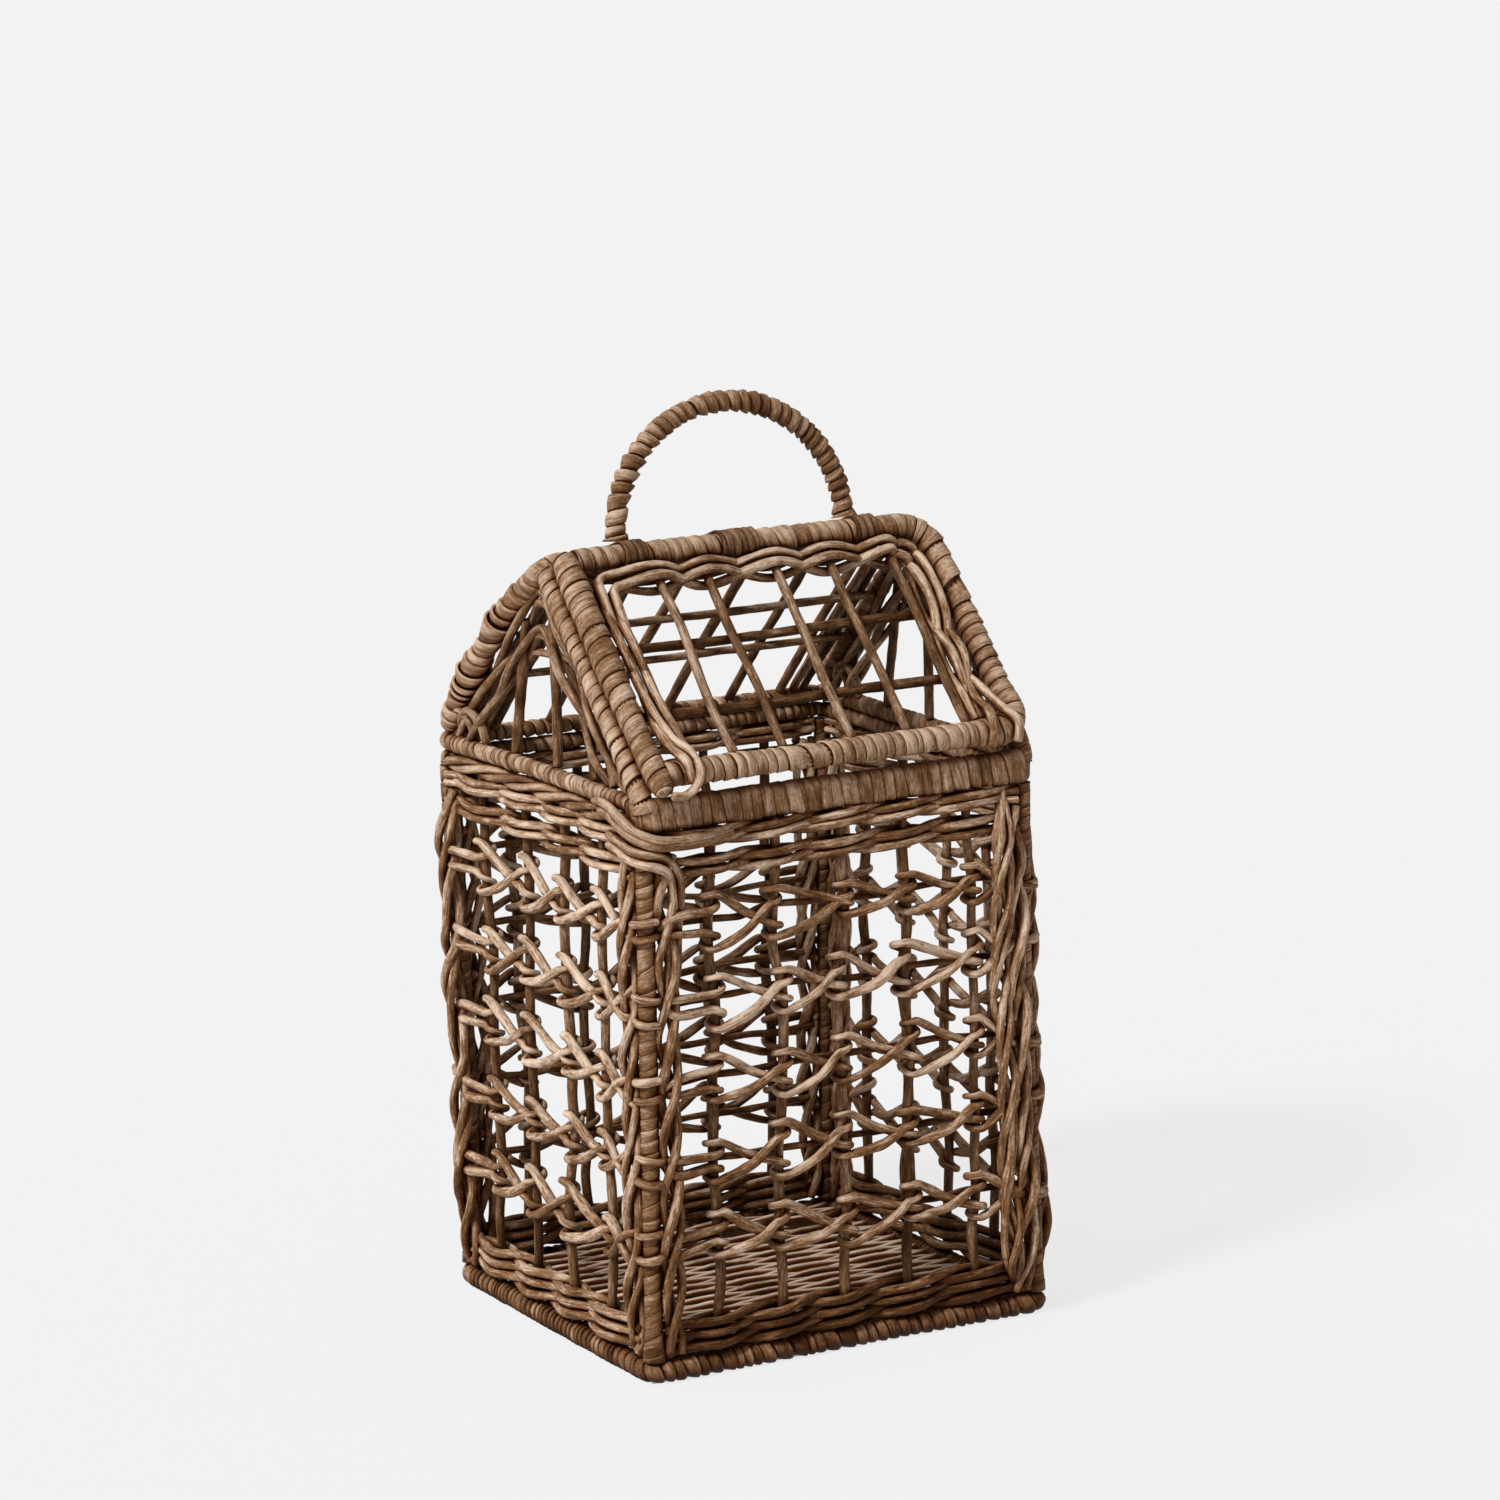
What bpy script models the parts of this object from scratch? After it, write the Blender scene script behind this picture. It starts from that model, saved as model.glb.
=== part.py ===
"""A small rattan storage basket shaped like a house.

The body is four open woven walls on stakes, between a wrapped base ring and a double top rim. The roof
has two slopes: the back one is fixed, and the front one is a lid that turns in cane lashings on the ridge.
An arched handle wound in flat cane stands on the ridge.

Metres, +Z up. The origin is at the middle of the base, on the surface that the basket stands on. The
ridge lies along X, and the lid faces -Y.
"""

import math

import bmesh
import bpy
from mathutils import Matrix, Vector

# Overall sizes
BODY_WIDTH = 0.120  # between the centre lines of the left and right walls
BODY_DEPTH = 0.110  # between the centre lines of the front and back walls
BODY_HEIGHT = 0.1606  # to the top of the rim
ROOF_RISE = 0.0544  # from the top of the rim to the ridge pole's axis
HANDLE_RISE = 0.0394  # from the ridge pole's axis to the top of the handle's core
SEAT_GAP = 0.0003  # between two pieces that bear on each other

# Poles and rods, by radius
BASE_POLE_RADIUS = 0.003
RIM_ROD_RADIUS = 0.00225
RIM_CORNER_RADIUS = 0.004
POST_RADIUS = 0.0024
STAKE_RADIUS = 0.0014
WEAVER_RADIUS = 0.00115
BORDER_ROD_RADIUS = 0.0012
GABLE_RAIL_RADIUS = 0.0029
BACK_POLE_RADIUS = 0.0025
BACK_CORNER_RADIUS = 0.007
LID_POLE_RADIUS = 0.0035
LID_CORNER_RADIUS = 0.009
HANDLE_CORE_RADIUS = 0.0014

# Flat cane that is wound or lashed round the poles
CANE_THICKNESS = 0.0007
CANE_WIDTH = 0.0018
CANE_LOOP_GAP = 0.0005
LASHING_SIDE_GAP = 0.0006  # between a lashing and the roof bar beside it
FOOT_LASHING_LOOPS = 2
HINGE_LASHING_LOOPS = 4
LASHING_STEPS = 12  # points of one loop, half round each pole
HINGE_LASHING_SHARE = -0.07  # of the lid's half width, from the middle
HANDLE_LOOPS = 24
HANDLE_LOOP_GAP = 0.00065

# Counts of the stakes and rows
WIDE_WALL_STAKES = 5
NARROW_WALL_STAKES = 4
WEAVE_ROWS = 5

# Heights and steps of the wall weave
WEAVE_FIRST_ROW_SHARE = 0.202  # of the way from the lowest pairing row to the highest
WEAVE_ROW_STEP_SHARE = 0.1655  # of the same
WEAVE_CROSS_RISE = 0.0065  # of a weaver's loop on a stake, above and below its row
CROSSING_OFFSET = 0.0014  # between a weaver's axis and the wall's, where two weavers cross
COLUMN_TWIST_RADIUS = 0.0015
COLUMN_TURN = 0.046
COLUMN_END_GAP = 0.0022
FOOT_PAIRING_ROWS = 1
HEAD_PAIRING_ROWS = 2
PAIRING_ROW_STEP = 0.0068
PAIRING_ROD_RADIUS = 0.0013
PAIRING_END_RISE = 0.0015  # of a pairing rod's end above or below its row
PAIRING_SPLIT = 0.0003  # between a pairing rod's axis and its row, at the stakes
PAIRING_BASE_GAP = 0.0045  # between the base ring and the lowest pairing row's axis
PAIRING_RIM_GAP = 0.0073  # between the rim and the highest pairing row's axis

# Floor
FLOOR_ROD_PITCH = 0.0028
FLOOR_ROD_RADIUS = 0.0012
FLOOR_VALLEY_SHARE = 0.25  # of the rod's radius, how high the valley between two rods is
FLOOR_SHOULDER_SHARE = 0.25  # of the pitch, from the rod's axis to its shoulder
FLOOR_LIFT = 0.0004  # of the floor stakes above the surface
FLOOR_EDGE_GAP = 0.0005

# Roof
LID_INSET = 0.0026  # of the lid's side rails inside the gable rails' plane
LID_LENGTH = 0.070  # between the axes of the lid's upper and lower rails
LID_OPEN_ANGLE = math.radians(135)  # the lid then stands just in front of the handle
LID_INNER_BAR_SHARES = (-0.285, 0.09, 0.40)  # of the lid's half width, from the middle
LID_CROSSBAR_SHARES = (0.40, 0.71)  # of the lid's length, from its upper rail
BORDER_ROD_STEP = 0.0034
BORDER_FIRST_STEP = 0.0063
BORDER_BEND_RADIUS = 0.004
BORDER_SIDE_GAP = 0.0025  # between the inner border rod and the lid's last bar
BACK_BAR_SHARES = (-0.76, -0.48, 0.14, 0.48, 0.76)  # of the roof's half width, from the middle
BACK_CROSSBAR_SHARES = (0.385, 0.64)  # of the slope, from the ridge
GABLE_CROSSBAR_SHARE = 0.55  # of the gable's height
LATTICE_WEAVE = 0.0012  # how far a fused rod's axis sways to either side of the stakes
LATTICE_BITE = 0.0008  # how deep a crossbar is sunk into the bars that it is fused to
HANDLE_LEG_RISE = 0.0095  # of the straight legs above the handle's feet

COLLECTION_NAME = "woven_house_basket"
GUIDE_COLLECTION_NAME = "guides"

# Colours of the cane, wound and bare
COLOURS = {
    "wrapped_pole": (0.235, 0.165, 0.120),
    "stake": (0.190, 0.132, 0.098),
    "weaver": (0.205, 0.140, 0.102),
    "floor": (0.250, 0.180, 0.130),
    "lashing": (0.150, 0.098, 0.070),
}

# Places that follow from the sizes above
RIDGE_HEIGHT = BODY_HEIGHT + ROOF_RISE
CORNER_SHARE = 1 - math.sqrt(0.5)
POST_X = BODY_WIDTH / 2 - CORNER_SHARE * RIM_CORNER_RADIUS
POST_Y = BODY_DEPTH / 2 - CORNER_SHARE * RIM_CORNER_RADIUS
BASE_TOP = 2 * BASE_POLE_RADIUS
UPPER_RIM_Z = BODY_HEIGHT - RIM_ROD_RADIUS
LOWER_RIM_Z = UPPER_RIM_Z - 2 * RIM_ROD_RADIUS - SEAT_GAP
RIM_BOTTOM = LOWER_RIM_Z - RIM_ROD_RADIUS
WALL_FOOT = BASE_TOP + SEAT_GAP
WALL_HEAD = RIM_BOTTOM - SEAT_GAP
ROOF_FOOT = BODY_HEIGHT + SEAT_GAP
SLOPE = math.atan2(RIDGE_HEIGHT - BODY_HEIGHT, POST_Y)
SLOPE_LENGTH = math.hypot(RIDGE_HEIGHT - BODY_HEIGHT, POST_Y)
LID_HALF_WIDTH = POST_X - LID_INSET
LID_LIFT = math.sqrt((LID_POLE_RADIUS + GABLE_RAIL_RADIUS + SEAT_GAP) ** 2 - LID_INSET**2)
HINGE_REACH = BACK_POLE_RADIUS + LID_POLE_RADIUS + CANE_THICKNESS + 2 * SEAT_GAP
HINGE_DOWN_SLOPE = math.sqrt(HINGE_REACH**2 - LID_LIFT**2)
HINGE_Y = -LID_LIFT * math.sin(SLOPE) - HINGE_DOWN_SLOPE * math.cos(SLOPE)
HINGE_Z = RIDGE_HEIGHT + LID_LIFT * math.cos(SLOPE) - HINGE_DOWN_SLOPE * math.sin(SLOPE)
CANE_PITCH = CANE_WIDTH + CANE_LOOP_GAP
FOOT_LASHING_HALF = (FOOT_LASHING_LOOPS * CANE_PITCH + CANE_WIDTH) / 2
HINGE_LASHING_HALF = (HINGE_LASHING_LOOPS * CANE_PITCH + CANE_WIDTH) / 2
HINGE_LASHING_X = HINGE_LASHING_SHARE * LID_HALF_WIDTH
BAR_SIDE_STEP = LASHING_SIDE_GAP + STAKE_RADIUS
BORDER_REACH = BORDER_FIRST_STEP + BORDER_ROD_STEP + BORDER_ROD_RADIUS
OUTER_BAR_X = LID_HALF_WIDTH - BORDER_REACH - BORDER_SIDE_GAP - STAKE_RADIUS
HANDLE_SPAN = 2 * (OUTER_BAR_X - BAR_SIDE_STEP - FOOT_LASHING_HALF)


def clear_scene():
    for item in list(bpy.data.objects):
        bpy.data.objects.remove(item)


def new_collection(name):
    collection = bpy.data.collections.new(name)
    bpy.context.scene.collection.children.link(collection)
    return collection


def cane_material(name, colour):
    material = bpy.data.materials.new(name)
    material.use_nodes = True
    shader = material.node_tree.nodes["Principled BSDF"]
    shader.inputs["Base Color"].default_value = (*colour, 1)
    shader.inputs["Roughness"].default_value = 0.62
    shader.inputs["Metallic"].default_value = 0
    return material


def curve_object(name, points, closed=False):
    """A curve object of one straight-segment spline through the points."""
    curve = bpy.data.curves.new(name, "CURVE")
    curve.dimensions = "3D"
    spline = curve.splines.new("POLY")
    spline.points.add(len(points) - 1)
    for target, point in zip(spline.points, points):
        target.co = (*point, 1)
    spline.use_cyclic_u = closed
    curve.use_fill_caps = not closed
    return bpy.data.objects.new(name, curve)


def rod(name, points, radius, collection, material, closed=False, detail=1):
    """A round rod along the points: detail 0, 1 and 2 give 4, 6 and 8 sides."""
    item = curve_object(name, points, closed)
    item.data.bevel_depth = radius
    item.data.bevel_resolution = detail
    item.data.materials.append(material)
    collection.objects.link(item)
    return item


def profile_object(name, corners, collection):
    """A closed flat outline that other curves carry along their length. Clockwise ones make faces that point out."""
    item = curve_object(name, [(x, y, 0) for x, y in reversed(corners)], True)
    item.data.dimensions = "2D"
    item.data.fill_mode = "NONE"
    item.hide_render = True
    item.display_type = "WIRE"
    collection.objects.link(item)
    return item


def octagon(radius):
    """Corners of an octagon that lies on a flat side, radius being to its sides."""
    corner = radius / math.cos(math.pi / 8)
    angles = [math.pi / 8 + step * math.pi / 4 for step in range(8)]
    return [(corner * math.cos(angle), corner * math.sin(angle)) for angle in angles]


def corner_arc(centre_x, centre_y, radius, start, steps=3):
    """Points of a quarter circle that starts at an angle and turns to the left."""
    angles = [start + step * math.pi / 2 / steps for step in range(steps + 1)]
    return [(centre_x + radius * math.cos(angle), centre_y + radius * math.sin(angle)) for angle in angles]


def rounded_rectangle(half_x, half_y, radius):
    """Points of a rectangle about the origin with round corners."""
    inner_x = half_x - radius
    inner_y = half_y - radius
    return (
        corner_arc(inner_x, inner_y, radius, 0)
        + corner_arc(-inner_x, inner_y, radius, math.pi / 2)
        + corner_arc(-inner_x, -inner_y, radius, math.pi)
        + corner_arc(inner_x, -inner_y, radius, 3 * math.pi / 2)
    )


def mesh_from_curve(item):
    """The curve's evaluated mesh with its caps welded on."""
    depsgraph = bpy.context.evaluated_depsgraph_get()
    mesh = bpy.data.meshes.new_from_object(item.evaluated_get(depsgraph))
    shape = bmesh.new()
    shape.from_mesh(mesh)
    bmesh.ops.remove_doubles(shape, verts=shape.verts, dist=SEAT_GAP / 100)
    shape.to_mesh(mesh)
    shape.free()
    return mesh


def fused(name, strands, collection, material):
    """One closed body out of rods that run into each other. The rods are given as (points, radius, detail)."""
    workbench = new_collection(name + "_strands")
    bodies = []
    for index, (points, radius, detail) in enumerate(strands):
        curve = rod(f"{name}_strand_{index}", points, radius, workbench, material, False, detail)
        bpy.context.view_layer.update()
        body = bpy.data.objects.new(f"{name}_body_{index}", mesh_from_curve(curve))
        bpy.data.objects.remove(curve)
        bodies.append(body)
    first = bodies[0]
    collection.objects.link(first)
    for body in bodies[1:]:
        workbench.objects.link(body)
    union = first.modifiers.new("Union", "BOOLEAN")
    union.operation = "UNION"
    union.operand_type = "COLLECTION"
    union.collection = workbench
    union.solver = "EXACT"
    bpy.context.view_layer.update()
    depsgraph = bpy.context.evaluated_depsgraph_get()
    mesh = bpy.data.meshes.new_from_object(first.evaluated_get(depsgraph))
    mesh.name = name
    for body in bodies:
        bpy.data.objects.remove(body)
    bpy.data.collections.remove(workbench)
    mesh.materials.clear()
    mesh.materials.append(material)
    mesh.shade_smooth()
    mesh.set_sharp_from_angle(angle=math.radians(50))
    return mesh


def mesh_object(name, mesh, collection):
    item = bpy.data.objects.new(name, mesh)
    collection.objects.link(item)
    return item


def stake_places(count, span):
    """Where the stakes stand along a wall, at even steps between its corners."""
    return [span * ((step + 1) / (count + 1) - 0.5) for step in range(count)]


def cross_weave_row(places, end, row_height):
    """The two weavers of one open row, in the wall's own frame: X along it, -Y outwards, Z up.

    Each weaver loops over the outside of one stake above the row, crosses the other weaver half way to
    the next stake, and passes inside that stake below the row.
    """
    reach = STAKE_RADIUS + WEAVER_RADIUS + SEAT_GAP
    tie = WEAVE_CROSS_RISE / 3
    pair = []
    for sign in (1, -1):
        points = [(-end, 0, row_height + sign * tie)]
        for index, place in enumerate(places):
            high = -sign if index % 2 else sign
            if index:
                middle = (places[index - 1] + place) / 2
                points.append((middle, sign * CROSSING_OFFSET, row_height))
            points.append((place, -high * reach, row_height + high * WEAVE_CROSS_RISE))
        points.append((end, 0, row_height + high * tie))
        pair.append((points, WEAVER_RADIUS, 0))
    return pair


def pairing_row(places, end, height):
    """Two rods that pass on opposite sides of each stake and change sides between stakes."""
    reach = STAKE_RADIUS + PAIRING_ROD_RADIUS + SEAT_GAP
    pair = []
    for sign in (1, -1):
        rise = sign * PAIRING_END_RISE
        points = [(-end, 0, height + rise)]
        for index, place in enumerate(places):
            side = sign if index % 2 else -sign
            points.append((place, side * reach, height + sign * PAIRING_SPLIT))
        points.append((end, 0, height + rise))
        pair.append((points, PAIRING_ROD_RADIUS, 0))
    return pair


def twisted_column(place):
    """Two strands twisted about each other up the wall's end, where the rows turn back."""
    foot = WALL_FOOT + COLUMN_END_GAP
    head = WALL_HEAD - COLUMN_END_GAP
    steps = round((head - foot) / (COLUMN_TURN / 4))
    pair = []
    for start in (0, math.pi):
        points = []
        for step in range(steps + 1):
            turn = start + step * math.pi / 2
            x = place + COLUMN_TWIST_RADIUS * math.cos(turn)
            y = COLUMN_TWIST_RADIUS * math.sin(turn)
            points.append((x, y, foot + step * (head - foot) / steps))
        pair.append((points, WEAVER_RADIUS, 0))
    return pair


def wall_weave(name, places, post_place, collection, material):
    """The woven part of one wall as one net: open rows and pairings tied into a column at each end."""
    end = post_place - POST_RADIUS - SEAT_GAP - COLUMN_TWIST_RADIUS - WEAVER_RADIUS
    strands = []
    strands += twisted_column(-end)
    strands += twisted_column(end)
    lowest = BASE_TOP + PAIRING_BASE_GAP
    highest = RIM_BOTTOM - PAIRING_RIM_GAP
    for row in range(WEAVE_ROWS):
        share = WEAVE_FIRST_ROW_SHARE + row * WEAVE_ROW_STEP_SHARE
        strands += cross_weave_row(places, end, lowest + share * (highest - lowest))
    for row in range(FOOT_PAIRING_ROWS):
        strands += pairing_row(places, end, lowest + row * PAIRING_ROW_STEP)
    for row in range(HEAD_PAIRING_ROWS):
        strands += pairing_row(places, end, highest - row * PAIRING_ROW_STEP)
    return fused(name, strands, collection, material)


def add_base(collection, guides, materials):
    corners = rounded_rectangle(BODY_WIDTH / 2, BODY_DEPTH / 2, RIM_CORNER_RADIUS)
    ring = curve_object("bottom_rim", [(x, y, BASE_POLE_RADIUS) for x, y in corners], True)
    ring.data.bevel_mode = "OBJECT"
    ring.data.bevel_object = profile_object("base_pole_outline", octagon(BASE_POLE_RADIUS), guides)
    ring.data.materials.append(materials["wrapped_pole"])
    collection.objects.link(ring)


def add_floor(collection, materials):
    """A mat of rods laid side by side along X, over stakes that run from front to back."""
    stake_z = FLOOR_LIFT + STAKE_RADIUS
    mat_z = stake_z + STAKE_RADIUS + SEAT_GAP + FLOOR_ROD_RADIUS
    half_x = BODY_WIDTH / 2 - BASE_POLE_RADIUS - FLOOR_EDGE_GAP
    half_y = BODY_DEPTH / 2 - BASE_POLE_RADIUS - FLOOR_EDGE_GAP
    rods = round(2 * half_y / FLOOR_ROD_PITCH)
    pitch = 2 * half_y / rods
    valley = FLOOR_VALLEY_SHARE * FLOOR_ROD_RADIUS
    shoulder = FLOOR_SHOULDER_SHARE * pitch
    top = [(-half_y, valley)]
    for index in range(rods):
        centre = -half_y + (index + 0.5) * pitch
        top.append((centre - shoulder, FLOOR_ROD_RADIUS))
        top.append((centre + shoulder, FLOOR_ROD_RADIUS))
        top.append((centre + pitch / 2, valley))
    outline = top + [(y, -z) for y, z in reversed(top)]
    mat = curve_object("floor_mat", [(y, z, 0) for y, z in outline], True)
    mat.data.dimensions = "2D"
    mat.data.fill_mode = "BOTH"
    mat.data.extrude = half_x
    mat.matrix_world = Matrix(((0, 0, 1, 0), (1, 0, 0, 0), (0, 1, 0, mat_z), (0, 0, 0, 1)))
    mat.data.materials.append(materials["floor"])
    collection.objects.link(mat)
    reach = BODY_DEPTH / 2 - BASE_POLE_RADIUS - SEAT_GAP
    for index, x in enumerate(stake_places(WIDE_WALL_STAKES, BODY_WIDTH), 1):
        points = [(x, -reach, stake_z), (x, reach, stake_z)]
        rod(f"floor_stake_{index}", points, STAKE_RADIUS, collection, materials["stake"])


def add_posts_and_stakes(collection, materials):
    for front, y in (("front", -POST_Y), ("back", POST_Y)):
        for side, x in (("left", -POST_X), ("right", POST_X)):
            points = [(x, y, WALL_FOOT), (x, y, WALL_HEAD)]
            rod(f"corner_post_{front}_{side}", points, POST_RADIUS, collection, materials["wrapped_pole"], detail=2)
    for front, y in (("front", -BODY_DEPTH / 2), ("back", BODY_DEPTH / 2)):
        for index, x in enumerate(stake_places(WIDE_WALL_STAKES, BODY_WIDTH), 1):
            points = [(x, y, WALL_FOOT), (x, y, WALL_HEAD)]
            rod(f"{front}_stake_{index}", points, STAKE_RADIUS, collection, materials["stake"])
    for side, x in (("left", -BODY_WIDTH / 2), ("right", BODY_WIDTH / 2)):
        for index, y in enumerate(stake_places(NARROW_WALL_STAKES, BODY_DEPTH), 1):
            points = [(x, y, WALL_FOOT), (x, y, WALL_HEAD)]
            rod(f"{side}_stake_{index}", points, STAKE_RADIUS, collection, materials["stake"])


def add_wall_weave(collection, materials):
    wide_places = stake_places(WIDE_WALL_STAKES, BODY_WIDTH)
    narrow_places = stake_places(NARROW_WALL_STAKES, BODY_DEPTH)
    wide = wall_weave("wide_wall_weave", wide_places, POST_X, collection, materials["weaver"])
    narrow = wall_weave("narrow_wall_weave", narrow_places, POST_Y, collection, materials["weaver"])
    sides = (
        ("front", wide, BODY_DEPTH / 2, 0),
        ("right", narrow, BODY_WIDTH / 2, 1),
        ("back", wide, BODY_DEPTH / 2, 2),
        ("left", narrow, BODY_WIDTH / 2, 3),
    )
    for side, mesh, reach, quarter in sides:
        item = mesh_object(f"{side}_weave", mesh, collection)
        turn = Matrix.Rotation(quarter * math.pi / 2, 4, "Z")
        item.matrix_world = turn @ Matrix.Translation((0, -reach, 0))


def add_top_rim(collection, materials):
    corners = rounded_rectangle(BODY_WIDTH / 2, BODY_DEPTH / 2, RIM_CORNER_RADIUS)
    for name, z in (("top_rim_lower", LOWER_RIM_Z), ("top_rim_upper", UPPER_RIM_Z)):
        points = [(x, y, z) for x, y in corners]
        rod(name, points, RIM_ROD_RADIUS, collection, materials["wrapped_pole"], True, 2)


def slope_foot(radius):
    """How far down the slope a pole ends, so that its cut end clears the rim by the seat gap."""
    return (RIDGE_HEIGHT - ROOF_FOOT - radius * math.cos(SLOPE)) / math.sin(SLOPE)


def roof_anchor(name, y, z, pitch, collection):
    """An empty in a roof slope's plane: X along the ridge, Z out of the roof."""
    anchor = bpy.data.objects.new(name, None)
    anchor.empty_display_size = LID_POLE_RADIUS
    anchor.matrix_world = Matrix.Translation((0, y, z)) @ Matrix.Rotation(pitch, 4, "X")
    collection.objects.link(anchor)
    return anchor


def add_back_roof(collection, materials):
    """A bent pole that is the ridge and both back rails, and the open lattice that hangs in it."""
    anchor = roof_anchor("back_slope", 0, RIDGE_HEIGHT, -SLOPE, collection)
    foot = slope_foot(BACK_POLE_RADIUS)
    inner_x = POST_X - BACK_CORNER_RADIUS
    bend = corner_arc(inner_x, BACK_CORNER_RADIUS, BACK_CORNER_RADIUS, -math.pi / 2, 4)
    right_half = [(x, y, 0) for x, y in bend] + [(POST_X, foot, 0)]
    points = [(-x, y, z) for x, y, z in reversed(right_half)] + right_half
    frame = rod("back_roof_frame", points, BACK_POLE_RADIUS, collection, materials["wrapped_pole"], detail=2)
    frame.parent = anchor
    places = [share * POST_X for share in BACK_BAR_SHARES]
    places.append(HINGE_LASHING_X - HINGE_LASHING_HALF - BAR_SIDE_STEP)
    places.sort()
    top = BACK_POLE_RADIUS + SEAT_GAP
    rim_gap = RIM_ROD_RADIUS + SEAT_GAP
    bottom = math.hypot(RIDGE_HEIGHT - UPPER_RIM_Z, BODY_DEPTH / 2) - rim_gap
    strands = [([(x, top, 0), (x, bottom, 0)], STAKE_RADIUS, 1) for x in places]
    reach = POST_X - BACK_POLE_RADIUS - SEAT_GAP
    under = LATTICE_BITE - STAKE_RADIUS - BORDER_ROD_RADIUS
    for share in BACK_CROSSBAR_SHARES:
        y = share * SLOPE_LENGTH
        strands.append(([(-reach, y, under), (reach, y, under)], BORDER_ROD_RADIUS, 0))
    route = border_route(POST_X, places, bottom - rim_gap, BORDER_FIRST_STEP, LATTICE_WEAVE, 1)
    strands.append((route, BORDER_ROD_RADIUS, 0))
    mesh = fused("back_roof_lattice", strands, collection, materials["stake"])
    mesh_object("back_roof_lattice", mesh, collection).parent = anchor


def border_route(half_width, places, length, step, sway, first_side):
    """Points of a rod that runs up one side of a frame, along its top across the bars, and down the other."""
    x = half_width - step
    bend = corner_arc(x - BORDER_BEND_RADIUS, step + BORDER_BEND_RADIUS, BORDER_BEND_RADIUS, -math.pi / 2, 2)
    fall = [1 - index / (len(bend) - 1) for index in range(len(bend))]
    last_side = first_side if len(places) % 2 else -first_side
    route = [(-x, length, 0)]
    route += [(-px, py, share * first_side * sway) for (px, py), share in reversed(list(zip(bend, fall)))]
    side = first_side
    for place in places:
        route.append((place, step, side * sway))
        side = -side
    route += [(px, py, share * last_side * sway) for (px, py), share in zip(bend, fall)]
    route.append((x, length, 0))
    return route


def lid_leg_end(x):
    """How far down the lid a border rod at x runs before it meets the frame's lower rail or its round corner."""
    bend = LID_CORNER_RADIUS - LID_POLE_RADIUS - SEAT_GAP
    past = max(x + BORDER_ROD_RADIUS - (LID_HALF_WIDTH - LID_CORNER_RADIUS), 0)
    return LID_LENGTH - LID_CORNER_RADIUS + math.sqrt(bend**2 - past**2)


def add_gables(collection, materials):
    foot = slope_foot(GABLE_RAIL_RADIUS)
    top = BACK_POLE_RADIUS + SEAT_GAP
    for side, x in (("left", -POST_X), ("right", POST_X)):
        points = []
        for along in (top, foot):
            points.append((x, -along * math.cos(SLOPE), RIDGE_HEIGHT - along * math.sin(SLOPE)))
        name = f"gable_rail_{side}"
        rod(name, points, GABLE_RAIL_RADIUS, collection, materials["wrapped_pole"], detail=2)
    mesh = gable_lattice(collection, materials["stake"])
    for side, x in (("left", -POST_X), ("right", POST_X)):
        mesh_object(f"gable_lattice_{side}", mesh, collection).location = (x, 0, 0)


def gable_lattice(collection, material):
    """The stakes that fill a gable, the rod that follows its rails inside, and a crossbar."""
    inset = GABLE_RAIL_RADIUS + SEAT_GAP + BORDER_ROD_RADIUS
    drop = inset / math.cos(SLOPE)
    peak = RIDGE_HEIGHT - drop
    places = stake_places(NARROW_WALL_STAKES, BODY_DEPTH)
    strands = []
    for y in places:
        head = peak - abs(y) * math.tan(SLOPE)
        strands.append(([(0, y, ROOF_FOOT), (0, y, head)], STAKE_RADIUS, 1))
    foot_y = POST_Y - RIM_CORNER_RADIUS - drop
    route = [(0, -foot_y, peak - foot_y * math.tan(SLOPE))]
    sway = LATTICE_WEAVE
    for y in places:
        if y > 0 and route[-1][1] < 0:
            route.append((0, 0, peak))
        route.append((sway, y, peak - abs(y) * math.tan(SLOPE)))
        sway = -sway
    route.append((0, foot_y, peak - foot_y * math.tan(SLOPE)))
    strands.append((route, BORDER_ROD_RADIUS, 1))
    bar_z = BODY_HEIGHT + GABLE_CROSSBAR_SHARE * (RIDGE_HEIGHT - BODY_HEIGHT)
    bar_y = (peak - bar_z) / math.tan(SLOPE)
    strands.append(([(LATTICE_WEAVE, -bar_y, bar_z), (LATTICE_WEAVE, bar_y, bar_z)], BORDER_ROD_RADIUS, 1))
    return fused("gable_lattice", strands, collection, material)


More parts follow.
